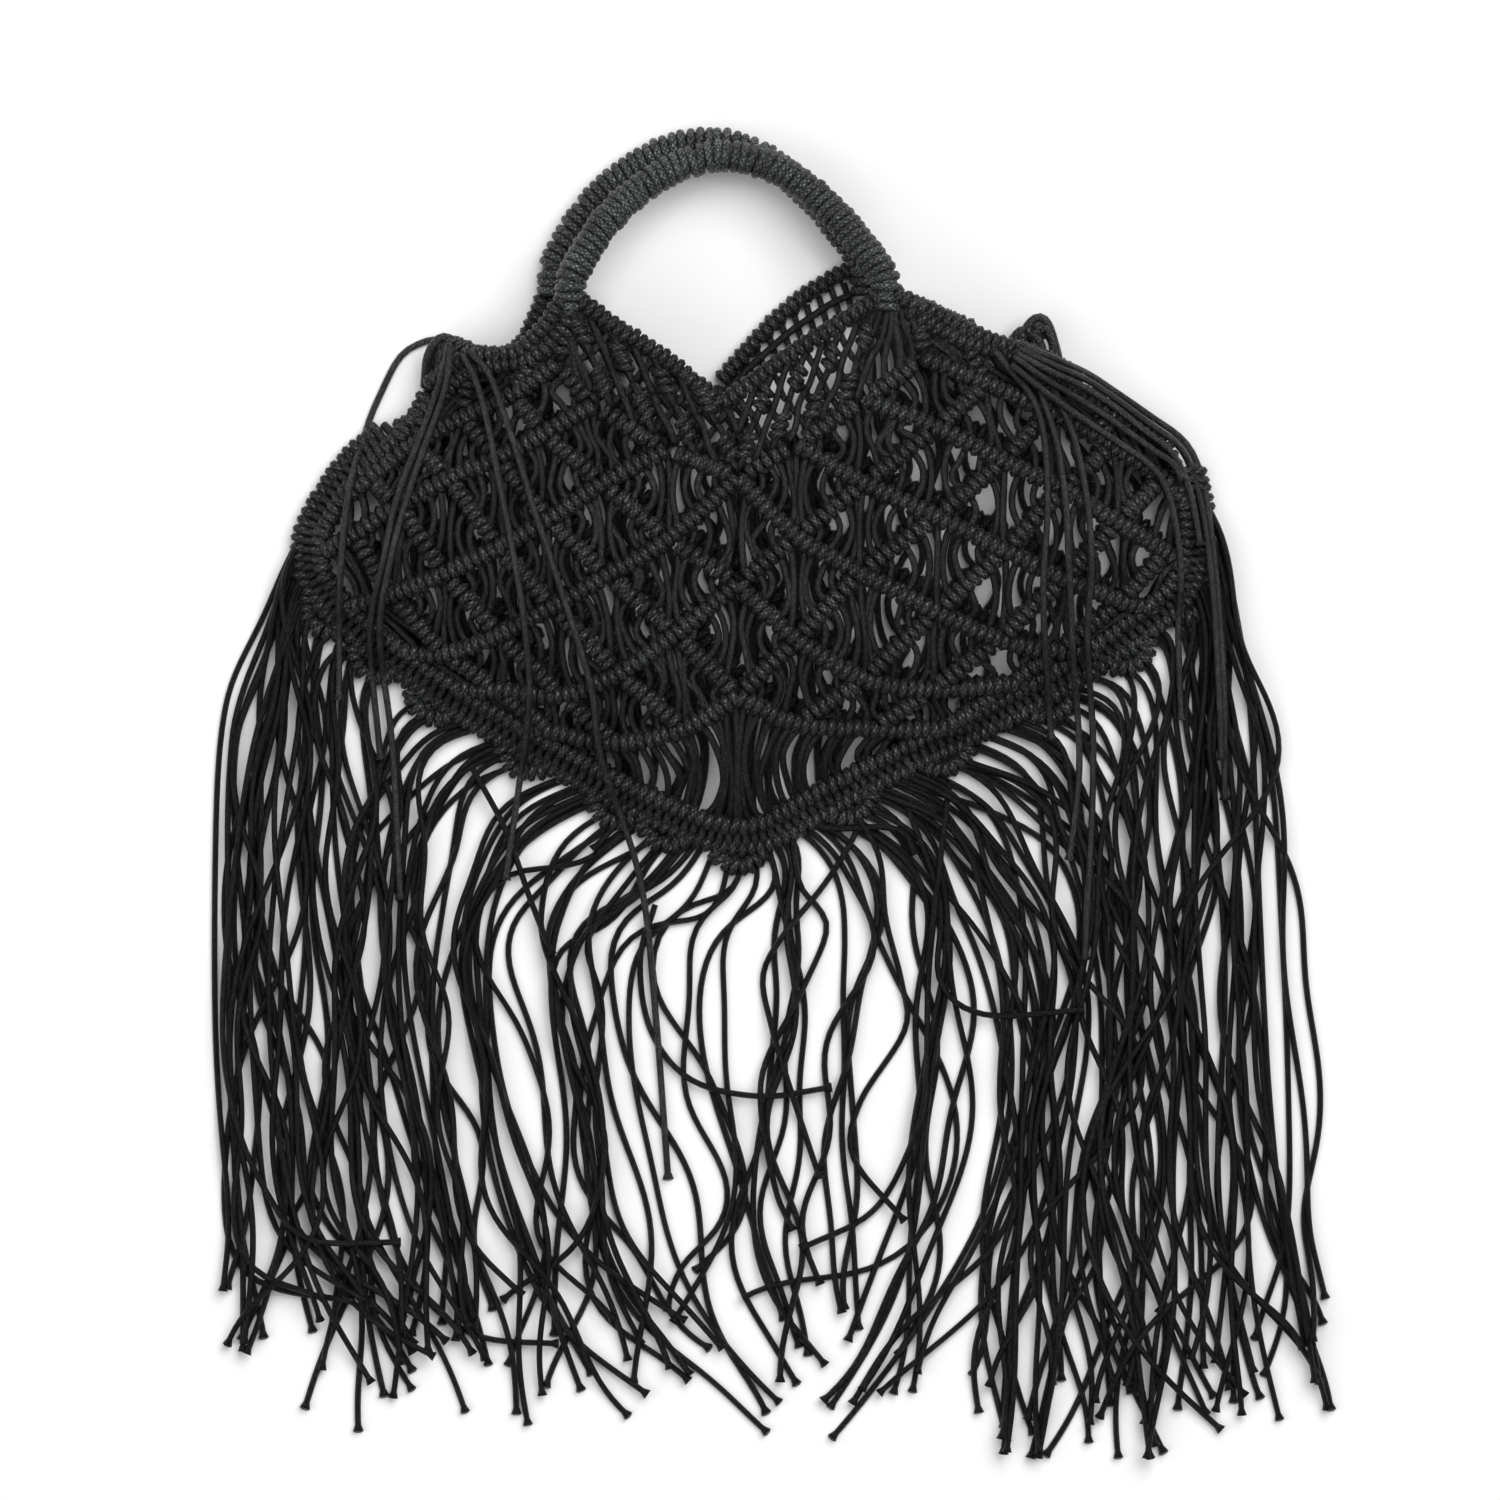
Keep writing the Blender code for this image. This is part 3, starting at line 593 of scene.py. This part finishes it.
def cell_cords(work, corners, on_panel, across):
    """Free cords of a cell, which bow to its middle between the upper and the lower ribs."""
    top, right, bottom, left = corners
    middle = (top + bottom) / 2
    for side in (left, right):
        for number in range(across):
            share = (number + 0.65) / (across + 0.7) + stray(0.03)
            start = side + (top - side) * share
            end = side + (bottom - side) * (share + stray(0.03))
            inward = middle - (start + end) / 2
            away = norm(inward)
            slack = norm(end - start) * chance.uniform(0.2, 0.32)
            bow = inward / away * min(slack, away * 0.62)
            sway = stray(0.0014) if chance.uniform() < 0.4 else 0.0
            bowed_cord(work, start, end, bow, on_panel, sway)
    if chance.uniform() < 0.4:
        bow = np.array([stray(0.0012), 0.0])
        bowed_cord(work, top, bottom, bow, on_panel, stray(0.0008))


def edge_cords(work, ribs, sign, on_panel):
    """Free cords between the outer ends of neighbouring long ribs, beyond the last cell."""
    pitch = 0.0045
    for pair in zip(ribs, ribs[1:]):
        last = min(first + len(row) for first, row, _ in pair) - 1
        upper, lower = (even_line(places(sided((*row[last - first:], end), sign)), FINE_STEP)
                        for first, row, end in pair)
        count = max(int(len(upper) * FINE_STEP / pitch), 1)
        for number in range(count):
            share = (number + 0.6) / (count + 0.2)
            start = upper[int(share * (len(upper) - 1))]
            end = lower[int(share * (len(lower) - 1))]
            bow = np.array([-sign * chance.uniform(0.0008, 0.0025), 0.0])
            bowed_cord(work, start, end, bow, on_panel, stray(0.0005))


def band_edges(arm, count):
    """Places across an arm of the band, and the heights of its lower and upper edge there."""
    columns = np.array(arm).T
    across = np.linspace(columns[0][0], columns[0][-1], count)
    places_up, low, high = columns[:, np.argsort(columns[0])]
    return across, np.interp(across, places_up, low), np.interp(across, places_up, high)


def open_band(cords, on_panel, arm):
    """Thin cords crossing squarely, with open holes between them."""
    across, low, high = band_edges(arm, 12)
    for level in (0.3, 0.68):
        line = places(np.column_stack([across, low + (high - low) * level]))
        sweep(cords, on_panel(smooth_line(line, BAND_STEP), CORD * 0.4), FREE_CORD)
    for number in range(len(across) - 1):
        start, end = places(((across[number], high[number]),
                             (across[number + 1], low[number + 1])))
        bowed_cord(cords, start, end, np.array([0.0, stray(0.0004)]), on_panel)


def band_cords(ribs, cords, form, on_panel, arm):
    """The open band under the rim: crossing cords with small knots where they meet."""
    across, low, high = band_edges(arm, 9)
    levels = [places(np.column_stack([across, level])) for level in (low, (low + high) / 2, high)]
    over, under = 0.0024, 0.0006
    for lower, upper in zip(levels, levels[1:]):
        for number in range(len(across) - 1):
            for start, end, lift in ((lower[number], upper[number + 1], over),
                                     (upper[number], lower[number + 1], under)):
                bow = np.array([0.0, stray(0.0006)])
                bowed_cord(cords, start, end, bow, on_panel, stray(0.0004), lift)
            if (number + (lower is levels[0])) % 2:
                spot = (lower[number] + upper[number + 1]) / 2
                run = (upper[number + 1] - lower[number]) * 0.26
                wrap_along(ribs, form, on_panel(np.array([spot - run, spot + run]), 0.0004),
                           WRAP_PITCH * 0.9, 0.5 if number % 2 else -0.5)


def bottom_fan(work, on_panel):
    """Long slack cords from the lowest ribs down to the seam."""
    row = sided(LEFT_RIBS[-1][1][::-1], -1) + RIGHT_RIBS[-1][1][1:]
    upper = even_line(places(row), FINE_STEP)
    lower = seam_rib[seam_rib[:, 1] < ZERO[1] + 0.2 * BODY_HEIGHT]
    lower = lower[np.argsort(lower[:, 0])]
    middle = ZERO[0]
    for share in np.linspace(0.01, 0.99, BOTTOM_CORDS):
        start = upper[int(share * (len(upper) - 1))]
        end_x = middle + (start[0] - middle) * chance.uniform(0.8, 0.95)
        end = lower[np.argmin(np.abs(lower[:, 0] - end_x))]
        reach = norm(end - start)
        aside = np.clip((start[0] - middle) / 0.02, -1.0, 1.0)
        bow = np.array([-aside * reach * chance.uniform(0.12, 0.34), 0.0])
        bowed_cord(work, start, end, bow, on_panel, stray(0.0008))


def foot_fan(work, fan, on_panel):
    """Cords that spread from under the foot of a handle to the rib below."""
    start, end_1, end_2 = places(fan)
    foot_width = 0.009
    lift = 0.0008
    for share in np.linspace(0.0, 1.0, 6):
        end = end_1 + (end_2 - end_1) * share
        spread = np.array([(share - 0.5) * foot_width, 0.0])
        bowed_cord(work, start + spread, end, spread * 0.5, on_panel, stray(0.0008), lift)


def cell_count(corners, behind):
    """Free cords on each side of a cell: more in wide cells and near the middle, fewer on the
    right and at the left shoulder, where the net is more open."""
    width = norm(corners[1] - corners[3])
    aside = (corners[:, 0].mean() - ZERO[0]) / HALF_WIDTH
    height = (corners[:, 1].mean() - ZERO[1]) / BODY_HEIGHT
    count = (4 if width > 0.034 else 3) + (1 if abs(aside) < 0.35 else 0)
    if aside > 0.5 or (aside < -0.3 and height > 0.74):
        count -= 2 if behind else 1
    return count


def laid_net(panel, on_panel, form, finish, cord_finish, on_rim=None):
    """One panel of the bag: hitched ribs over free cords. On the back one on_rim lays the rim."""
    ribs = CordWork()
    cords = CordWork()
    cells = middle_cells()
    for sign, half, tops in ((1, RIGHT_RIBS, RIGHT_TOPS), (-1, LEFT_RIBS, LEFT_TOPS)):
        long_ribs, short_ribs, half_cells = lattice(half, tops)
        for rib in long_ribs:
            line = smooth_line(places(sided(rib, sign)))
            hitched_rib(ribs, form, line, on_panel, RIB_LEAN * sign)
        for rib in short_ribs:
            line = even_line(shortened(*places(sided(rib, sign)), KNOT_REACH))
            wrap_along(ribs, form, on_panel(line, SHORT_LIFT), WRAP_PITCH, SHORT_LEAN * sign,
                       RIB_SWING)
        cells += half_cells if sign > 0 else [flipped_cell(cell) for cell in half_cells]
    for cell in cells:
        corners = places(cell)
        cell_cords(cords, corners, on_panel, cell_count(corners, on_rim))
    bottom_fan(cords, on_panel)
    edge_cords(cords, RIGHT_RIBS, 1, on_panel)
    edge_cords(cords, LEFT_RIBS, -1, on_panel)
    for fan in FANS:
        foot_fan(cords, fan, on_panel)
    for rim in (RIMS[1::2] if on_rim else RIMS):
        hitched_rib(ribs, form, smooth_line(places(rim)), on_panel, RIB_LEAN, lift=EDGE_LIFT)
    for arm in (BANDS[1:] if on_rim else BANDS):
        band_cords(ribs, cords, form, on_panel, arm)
    if on_rim:
        for rim in (BACK_RIM, BACK_SHOULDER):
            hitched_rib(ribs, form, smooth_line(places(rim)), on_rim, RIB_LEAN)
        open_band(cords, on_rim, BACK_BAND)
    hitched_rib(ribs, form, seam_rib, on_panel, SEAM_LEAN, 0.1, EDGE_LIFT)
    ribs.piece(panel + "_net_ribs", finish, "net_cord", (panel + "_panel",))
    cords.piece(panel + "_net_cords", cord_finish, "net_cord")


def offset_line(points, reach):
    """The seam's line moved outward by a reach, or inward by a negative one."""
    along = directions(points)
    outward = np.column_stack([along[:, 1], -along[:, 0]])
    outward *= np.sign(np.sum(outward * (points - NET_CENTRE), axis=1))[:, None]
    return points + outward * reach


seam_rib = even_line(offset_line(smooth_line(seam_line, LONG_STEP), -SEAM_RIB_IN))
# Middle of the outer binding, from the left gather round to the right one
head = even_line(offset_line(smooth_line(seam_line[::-1], LONG_STEP), HEAD_THICK / 2 + PIECE_GAP))
head_run = np.linspace(0.0, 1.0, len(head))
head_along = directions(head)


def round_head(share):
    """Place on the binding at a share of the way round, and the direction out of it."""
    spot = np.array([np.interp(share, head_run, head[:, axis]) for axis in range(2)])
    along = np.array([np.interp(share, head_run, head_along[:, axis]) for axis in range(2)])
    outward = np.array([along[1], -along[0]])
    if outward @ (spot - NET_CENTRE) < 0:
        outward = -outward
    return spot, outward / norm(outward)


# What lies on the floor already, as heights on a fine grid
GRID = 0.001
GRID_MARGIN = 0.04
grid_low, grid_high = (np.array(corner[:2]) for corner in cad_box)
grid_low -= GRID_MARGIN
grid_high += GRID_MARGIN
ground = np.zeros(np.ceil((grid_high - grid_low) / GRID).astype(int))
STENCIL = np.array([(across, up) for across in (-1, 0, 1) for up in (-1, 0, 1)])


def grid_cells(points):
    cells = np.rint((points - grid_low) / GRID).astype(int)
    cells = cells[:, None, :] + STENCIL[None, :, :]
    return np.clip(cells, 0, np.array(ground.shape) - 1)


def lay(points, reach, height_cap, clear_start=0.0):
    """Heights of a cord laid along the points over what lies there, which it then joins."""
    cells = grid_cells(points)
    under = ground[cells[:, :, 0], cells[:, :, 1]].max(axis=1)
    under = np.where(run_lengths(points) < clear_start, np.minimum(under, 0.002), under)
    under = np.where(under > height_cap, height_cap + (under - height_cap) * 0.25, under)
    padded = np.pad(under, 1, mode="edge")
    high = np.max([padded[:-2], under, padded[2:]], axis=0)
    for _ in range(5):
        padded = np.pad(high, 1, mode="edge")
        high = (padded[:-2] + 2 * padded[1:-1] + padded[2:]) / 4
    heights = np.maximum(high, 0.0) + reach
    fine = even_line(raised(points, heights), GRID)
    fine_cells = grid_cells(fine[:, :2])
    top = np.repeat((fine[:, 2] + reach * (2 * CORD_PRESS - 1))[:, None], len(STENCIL), axis=1)
    np.maximum.at(ground, (fine_cells[:, :, 0], fine_cells[:, :, 1]), top)
    return heights


def cut_cord(work, line, heights, reach, sides=6):
    """A cord along a line at these heights, with a short last step over which its end flares."""
    path = raised(line, heights)
    last, before = path[-1], path[-2]
    neck = last - (last - before) / norm(last - before) * CORD * 1.5
    last[2] = max(last[2], STRAND * 2.0)
    path = np.vstack([path[:-1], neck, last])
    reaches = np.full(len(path), reach)
    reaches[-1] *= END_FLARE
    sweep(work, path, reaches, sides)


def fringe_strand(root_share, belly, knee, tip, drop):
    """A strand's line from the binding through its belly and knee to its tip."""
    swept = np.interp(min(root_share, 1.0 - root_share), ROOTS_PLANNED, ROOTS_SWEPT)
    root, outward = round_head(swept if root_share < 0.5 else 1.0 - swept)
    out = np.clip(abs(outward[0]), 0.0, 1.0)
    aside = np.clip((root[0] - ZERO[0]) / 0.05, -1.0, 1.0)
    side_leave = np.array([outward[0] * 0.45, -1.0])
    under_leave = outward * 0.45 + (aside * 0.75, -0.12)
    blend = smooth_step((out - 0.72) / 0.2)
    leave = side_leave * blend + under_leave * (1.0 - blend)
    leave /= norm(leave)
    start = root - outward * 0.001
    gap = abs(belly * HALF_WIDTH + ZERO[0] - root[0])
    points = [start, root + leave * np.clip(gap * 0.6 + 0.006, 0.008, 0.036),
              ZERO + (belly * HALF_WIDTH, -0.2 * FRINGE_DROP),
              ZERO + (knee * HALF_WIDTH, -0.6 * FRINGE_DROP),
              ZERO + (tip * HALF_WIDTH, -drop * FRINGE_DROP)]
    if out > 0.8:
        points.insert(2, points[1] * 0.55 + points[2] * 0.45 + (outward[0] * 0.004, 0.0))
    line = smooth_line(points, STRAND_STEP)
    for _ in range(9):
        line[1:-1] = (line[:-2] + 2 * line[1:-1] + line[2:]) / 4
    share = np.linspace(0.0, 1.0, len(line))
    along = directions(line)
    beside = np.column_stack([-along[:, 1], along[:, 0]])
    wander = 0.0072
    sway = np.zeros(len(line))
    for waves in (0.9, 1.7, 2.9):
        waves *= chance.uniform(0.8, 1.25)
        sway += (wander / waves * stray(1.0)
                 * np.sin(2 * math.pi * (share * waves + chance.uniform())))
    sway -= sway[0]
    return line + beside * (sway * smooth_step(share * 4.0))[:, None]


def kept_in_box(line):
    """Cords near the sides of the box turn back gently instead of leaving it."""
    side_room, turn_room, low_room = 0.003, 0.025, 0.002
    centre = (cad_box[0][0] + cad_box[1][0]) / 2
    limit = (cad_box[1][0] - cad_box[0][0]) / 2 + side_room
    aside = line[:, 0] - centre
    start = limit - turn_room
    beyond = np.maximum(np.abs(aside) - start, 0.0)
    turned = start + (limit - start) * np.tanh(beyond / (limit - start))
    line = line.copy()
    line[:, 0] = centre + np.sign(aside) * np.where(beyond > 0.0, turned, np.abs(aside))
    line[:, 1] = np.maximum(line[:, 1], cad_box[0][1] - low_room)
    return line


def make_fringe(finish):
    works = [CordWork(), CordWork(), CordWork()]
    plans = []
    for share, belly, knee, tip, drop, spread in LOCKS:
        count = 9 if spread > 0.85 else 7 if abs(share - 0.5) > 0.09 else 5
        if share < 0.5:
            count -= 1
        for number in range(count):
            offset = (number + 0.5) / count - 0.5
            plans.append((share + offset * 0.034 + stray(0.003),
                          belly + offset * 0.07 * spread + stray(0.018),
                          knee + offset * 0.08 * spread + stray(0.05 * spread),
                          tip + offset * 0.09 * spread + stray(0.12 * spread),
                          min(drop * chance.uniform(0.9, 1.05), 1.0)))
    plans.sort(key=lambda plan: abs(plan[0] - 0.5) + chance.uniform(0.0, 0.12))
    root_z = 0.0035
    for plan in plans:
        line = kept_in_box(fringe_strand(*plan))
        heights = lay(line, STRAND, 0.009, 0.01)
        heights[0] = root_z
        work = works[sum(plan[0] > share for share in FRINGE_CUTS)]
        cut_cord(work, line, heights, STRAND * chance.uniform(0.94, 1.04))
    for cord in LONE_CORDS:
        line = smooth_line(charted(cord), LONG_STEP)
        work = works[sum(line[0][0] - ZERO[0] > aside for aside in (-0.05, 0.06))]
        cut_cord(work, line, lay(line, STRAND, 0.01, 0.008), STRAND)
    for work, name in zip(works, ("left", "centre", "right")):
        work.piece(f"fringe_{name}_strands", finish, "fringe_cord", (f"fringe_{name}",))


def make_binding(ring_form, finish):
    """Outer rib of the seam, the nubs beyond it and the cords that pass into it from the net."""
    work = CordWork()
    path = raised(head, HEAD_THICK / 2 + 0.0002)
    shown = path[(head_run > BINDING_ENDS[0]) & (head_run < BINDING_ENDS[1])]
    wrap_along(work, ring_form, shown, WRAP_PITCH, SEAM_LEAN, 0.12)
    sweep(work, shown, CORD * 1.3)
    entry_length, entry_top, entry_low = 0.0095, 0.0088, 0.0052
    for share in np.arange(*BINDING_ENDS, ENTRY_PITCH):
        spot, outward = round_head(share)
        line = even_line(np.array([spot - outward * entry_length, spot]), BAND_STEP)
        sweep(work, raised(line, np.linspace(entry_top, entry_low, len(line))), CORD)
    nub_z = 0.0037
    for nub in charted(NUBS):
        share = head_run[np.argmin(norm(head - nub, axis=1))]
        spots = []
        for step, reach in NUB_FORM:
            spot, outward = round_head(share + step)
            spots.append(spot + outward * reach)
        line = smooth_line(raised(spots, nub_z), FINE_STEP)
        wrap_along(work, ring_form, line, WRAP_PITCH * 0.96, 0.1, 0.2)
    work.piece("seam_binding", finish, "net_cord")


def handle_path(feet, foot_z, top_z):
    middle = (feet[0] + feet[1]) / 2
    half_span = (feet[1][0] - feet[0][0]) / 2
    arch = np.array(ARCH)
    heights = foot_z + (top_z - foot_z) * smooth_step(arch[:, 1])
    heights[0], heights[-1] = heights[1], heights[-2]
    points = np.column_stack([middle[0] + half_span * arch[:, 0],
                              middle[1] + PIECE_GAP + HANDLE_RISE * arch[:, 1], heights])
    into_net = (0.0, -0.007, -0.0015)
    tucked = [point + into_net for point in (points[0], points[-1])]
    for point in tucked:
        point[2] = max(point[2], HANDLE_THICK / 2)
    return smooth_line(np.vstack([tucked[0], points, tucked[1]]))


def make_handles(finish):
    form = loop_form(HANDLE_THICK / 2 - CORD, CORD, 22, 8, 1.0)
    feet = places(FEET)
    front = handle_path(feet, NET_WALL * 1.5 + PIECE_GAP + CROWN, HANDLE_THICK * 1.5 + PIECE_GAP)
    back = handle_path(leaned(feet), HANDLE_THICK / 2, HANDLE_THICK / 2)
    for name, path in (("front_handle", front), ("back_handle", back)):
        work = CordWork()
        wrap_along(work, form, path, HANDLE_PITCH, 0.1, 0.05, 0.015)
        sweep(work, path, HANDLE_THICK / 2 - CORD * 1.3, 12)
        work.piece(name + "_wraps", finish, "handle_cord", (name,))


def inside_outline(spots, outline):
    inside = np.zeros(len(spots), dtype=bool)
    for start, end in zip(outline, np.roll(outline, -1, axis=0)):
        crosses = (start[1] > spots[:, 1]) != (end[1] > spots[:, 1])
        with np.errstate(divide="ignore", invalid="ignore"):
            meet = (end[0] - start[0]) * (spots[:, 1] - start[1]) / (end[1] - start[1]) + start[0]
        inside ^= crosses & (spots[:, 0] < meet)
    return inside


def raise_ground():
    """The front net joins what lies on the floor, before the loose cords are laid over it."""
    spots = np.argwhere(ground >= 0.0) * GRID + grid_low
    inside = inside_outline(spots, np.vstack([seam_line, places(NET_TOP)]))
    net_top = front_surface(spots[inside]) + RIB_RISE + 0.0034
    flat = ground.reshape(-1)
    flat[inside] = np.maximum(flat[inside], net_top)


def make_ties(ring_form, finish):
    """Cords tied at the top corners, over the net and the fringe."""
    raise_ground()
    for side, ties, loops, knobs in (("left", LEFT_TIES, LEFT_LOOPS, LEFT_KNOBS),
                                     ("right", RIGHT_TIES, RIGHT_LOOPS, RIGHT_KNOBS)):
        work = CordWork()
        line = raised(smooth_line(charted(knobs)), KNOB_Z)
        wrap_along(work, ring_form, line, WRAP_PITCH * 0.95, 0.15, 0.2, 0.1)
        for loop in loops:
            line = smooth_line(charted(loop))
            rise = np.sin(np.linspace(0.0, math.pi, len(line)))
            sweep(work, raised(line, 0.006 + 0.0075 * rise), CORD, 8)
            sweep(work, raised(line + (0.001, -0.003), 0.003 + 0.006 * rise), CORD)
        for tie in ties:
            line = smooth_line(charted(tie), LONG_STEP)
            cut_cord(work, line, lay(line, STRAND, 0.06), STRAND * 1.1, 8)
        work.piece(side + "_gather_ties", finish, "net_cord", (side + "_gather",))


def new_socket(group, name, value=None):
    """An input with a value, or else an output."""
    made = group.interface.new_socket(name=name, in_out="OUTPUT" if value is None else "INPUT",
                                      socket_type="NodeSocketFloat")
    if value is not None:
        made.default_value = value


def number_node(tree, operation, *values):
    node = tree.nodes.new("ShaderNodeMath")
    node.operation = operation
    for socket, value in zip(node.inputs, values):
        if isinstance(value, float):
            socket.default_value = value
        else:
            tree.links.new(value, socket)
    return node.outputs[0]


def set_inputs(node, values):
    for name, value in values.items():
        node.inputs[name].default_value = value


def braid_effect():
    """Plaited cord: rounded scales in two crossing spirals, with fine noise for lighter fibre
    flecks, which the cord's colour also uses as painted glints.
    """
    group = bpy.data.node_groups.new("braided_cord", "ShaderNodeTree")
    new_socket(group, "Scale Length", BRAID_SCALE)
    new_socket(group, "Spirals", 7.0)
    for name in ("Scales", "Specks", "Wear"):
        new_socket(group, name)
    given = group.nodes.new("NodeGroupInput")
    result = group.nodes.new("NodeGroupOutput")
    run = group.nodes.new("ShaderNodeUVMap")
    run.uv_map = "cord_run"
    split = group.nodes.new("ShaderNodeSeparateXYZ")
    group.links.new(run.outputs["UV"], split.inputs[0])
    along = number_node(group, "DIVIDE", split.outputs["X"], given.outputs["Scale Length"])
    around = number_node(group, "MULTIPLY", split.outputs["Y"], given.outputs["Spirals"])
    scales = []
    for operation in ("ADD", "SUBTRACT"):
        spiral = number_node(group, operation, along, around)
        wave = number_node(group, "SINE", number_node(group, "MULTIPLY", spiral, math.pi))
        scales.append(number_node(group, "ABSOLUTE", wave))
    both = number_node(group, "MULTIPLY", scales[0], scales[1])
    group.links.new(number_node(group, "POWER", both, 0.6), result.inputs["Scales"])
    spot = group.nodes.new("ShaderNodeTexCoord")
    for scale, output in ((1000.0, "Specks"), (60.0, "Wear")):
        noise = group.nodes.new("ShaderNodeTexNoise")
        set_inputs(noise, {"Scale": scale, "Detail": 2.0})
        group.links.new(spot.outputs["Object"], noise.inputs["Vector"])
        group.links.new(noise.outputs["Fac"], result.inputs[output])
    return group


def stretched(tree, value, *limits):
    """A value spread from between the first two limits to between the last two."""
    node = tree.nodes.new("ShaderNodeMapRange")
    set_inputs(node, dict(zip(("From Min", "From Max", "To Min", "To Max"), limits)))
    tree.links.new(value, node.inputs["Value"])
    return node.outputs["Result"]


def waxed_cord(name, deep, light, gloss, braid):
    """Waxed black braided cord, with painted shade deep between the scales and a painted sheen,
    lighter and greener, on them.
    """
    made = bpy.data.materials.new(name)
    made.use_nodes = True
    tree = made.node_tree
    shader = tree.nodes["Principled BSDF"]
    effect = tree.nodes.new("ShaderNodeGroup")
    effect.node_tree = braid
    set_inputs(effect, {"Scale Length": BRAID_SCALE})
    flecks_and_glints = effect.outputs["Specks"]
    tone = tree.nodes.new("ShaderNodeAttribute")
    tone.attribute_name = "cord_tone"
    # Painted light in the colour: the scales keep it deep in the grooves (painted shade) and light
    # on the crowns (painted sheen), and the fine noise adds lighter fibre flecks and painted
    # glints. The wear noise and each cord's tone only vary it at random.
    painted_sheen_and_tone = stretched(tree, flecks_and_glints, 0.42, 0.64, 0.12, 1.0)
    for share in (effect.outputs["Scales"],
                  stretched(tree, effect.outputs["Wear"], 0.35, 0.65, 0.55, 1.15),
                  stretched(tree, tone.outputs["Fac"], 0.0, 1.0, 0.7, 1.15)):
        painted_sheen_and_tone = number_node(tree, "MULTIPLY", painted_sheen_and_tone, share)
    blend = tree.nodes.new("ShaderNodeMix")
    blend.data_type = "RGBA"
    set_inputs(blend, {"A": (*deep, 1.0), "B": (*light, 1.0)})
    tree.links.new(painted_sheen_and_tone, blend.inputs["Factor"])
    tree.links.new(blend.outputs["Result"], shader.inputs["Base Color"])
    tree.links.new(stretched(tree, flecks_and_glints, 0.35, 0.65, 0.5, 0.32), shader.inputs["Roughness"])
    set_inputs(shader, {"Specular IOR Level": gloss})
    relief = number_node(tree, "ADD", effect.outputs["Scales"],
                         number_node(tree, "MULTIPLY", flecks_and_glints, 0.6))
    bump = tree.nodes.new("ShaderNodeBump")
    set_inputs(bump, {"Strength": 1.0, "Distance": 0.00022})
    tree.links.new(relief, bump.inputs["Height"])
    tree.links.new(bump.outputs["Normal"], shader.inputs["Normal"])
    return made


def studio():
    """White floor, soft light from above and a camera straight over the bag."""
    bpy.ops.mesh.primitive_plane_add(size=12.0, location=(0.0, 0.0, -0.0004))
    floor = bpy.context.object
    floor.name = "studio_floor"
    paint = bpy.data.materials.new("floor_white")
    paint.use_nodes = True
    set_inputs(paint.node_tree.nodes["Principled BSDF"],
               {"Roughness": 0.9, "Specular IOR Level": 0.0, "Base Color": (0.9, 0.905, 0.9, 1.0)})
    floor.data.materials.append(paint)
    world = bpy.data.worlds.new("studio_air")
    world.use_nodes = True
    set_inputs(world.node_tree.nodes["Background"],
               {"Color": (1.0, 1.0, 1.0, 1.0), "Strength": 0.2})
    bpy.context.scene.world = world
    bpy.context.scene.view_settings.view_transform = "Standard"
    for name, spot, power in (("key_light", (1.0, 1.4, 3.2), 130.0),
                              ("fill_light", (-1.8, -0.6, 2.8), 44.0)):
        lamp = bpy.data.lights.new(name, "AREA")
        lamp.size = 3.0
        lamp.energy = power
        holder = linked(name, lamp)
        holder.location = spot
        holder.rotation_euler = (-Vector(spot)).to_track_quat("-Z", "Y").to_euler()
    lens = bpy.data.cameras.new("overhead_camera")
    lens.sensor_width = 36.0
    lens.lens = lens.sensor_width * CAMERA_HEIGHT / (PICTURE * CHART_STEP)
    camera = linked("overhead_camera", lens)
    centre = charted([(PICTURE / 2, PICTURE / 2)])[0]
    camera.location = (*centre, CAMERA_HEIGHT + SHARP_LEVEL)
    bpy.context.scene.camera = camera


braid = braid_effect()
# Each part's cord: its near-black, which also stands for painted shade in the braid's grooves, the
# lighter and greener colour of the painted sheen and fibre flecks on the scales, and its gloss.
net_finish, free_finish, handle_finish, fringe_finish = (
    waxed_cord(f"waxed_{name}_cord", deep, light, gloss, braid)
    for name, deep, light, gloss in (
        ("net", (0.0008, 0.001, 0.0009), (0.071, 0.081, 0.071), 0.34),
        ("free", (0.0004, 0.0005, 0.0004), (0.046, 0.053, 0.046), 0.24),
        ("handle", (0.003, 0.004, 0.0036), (0.165, 0.184, 0.171), 0.4),
        ("fringe", (0.0003, 0.0004, 0.0003), (0.025, 0.0285, 0.025), 0.15),
    )
)

studio()
rib_form = loop_form(WRAP_REACH - CORD, CORD, 12, 6, 0.88)
back_form = loop_form(WRAP_REACH - CORD, CORD, 8, 5, 0.88)
laid_net("back", on_back, back_form, net_finish, free_finish, on_back_rim)
laid_net("front", on_front, rib_form, net_finish, free_finish)
make_binding(rib_form, net_finish)
chance = np.random.default_rng(FRINGE_SEED)
make_fringe(fringe_finish)
make_handles(handle_finish)
make_ties(rib_form, net_finish)
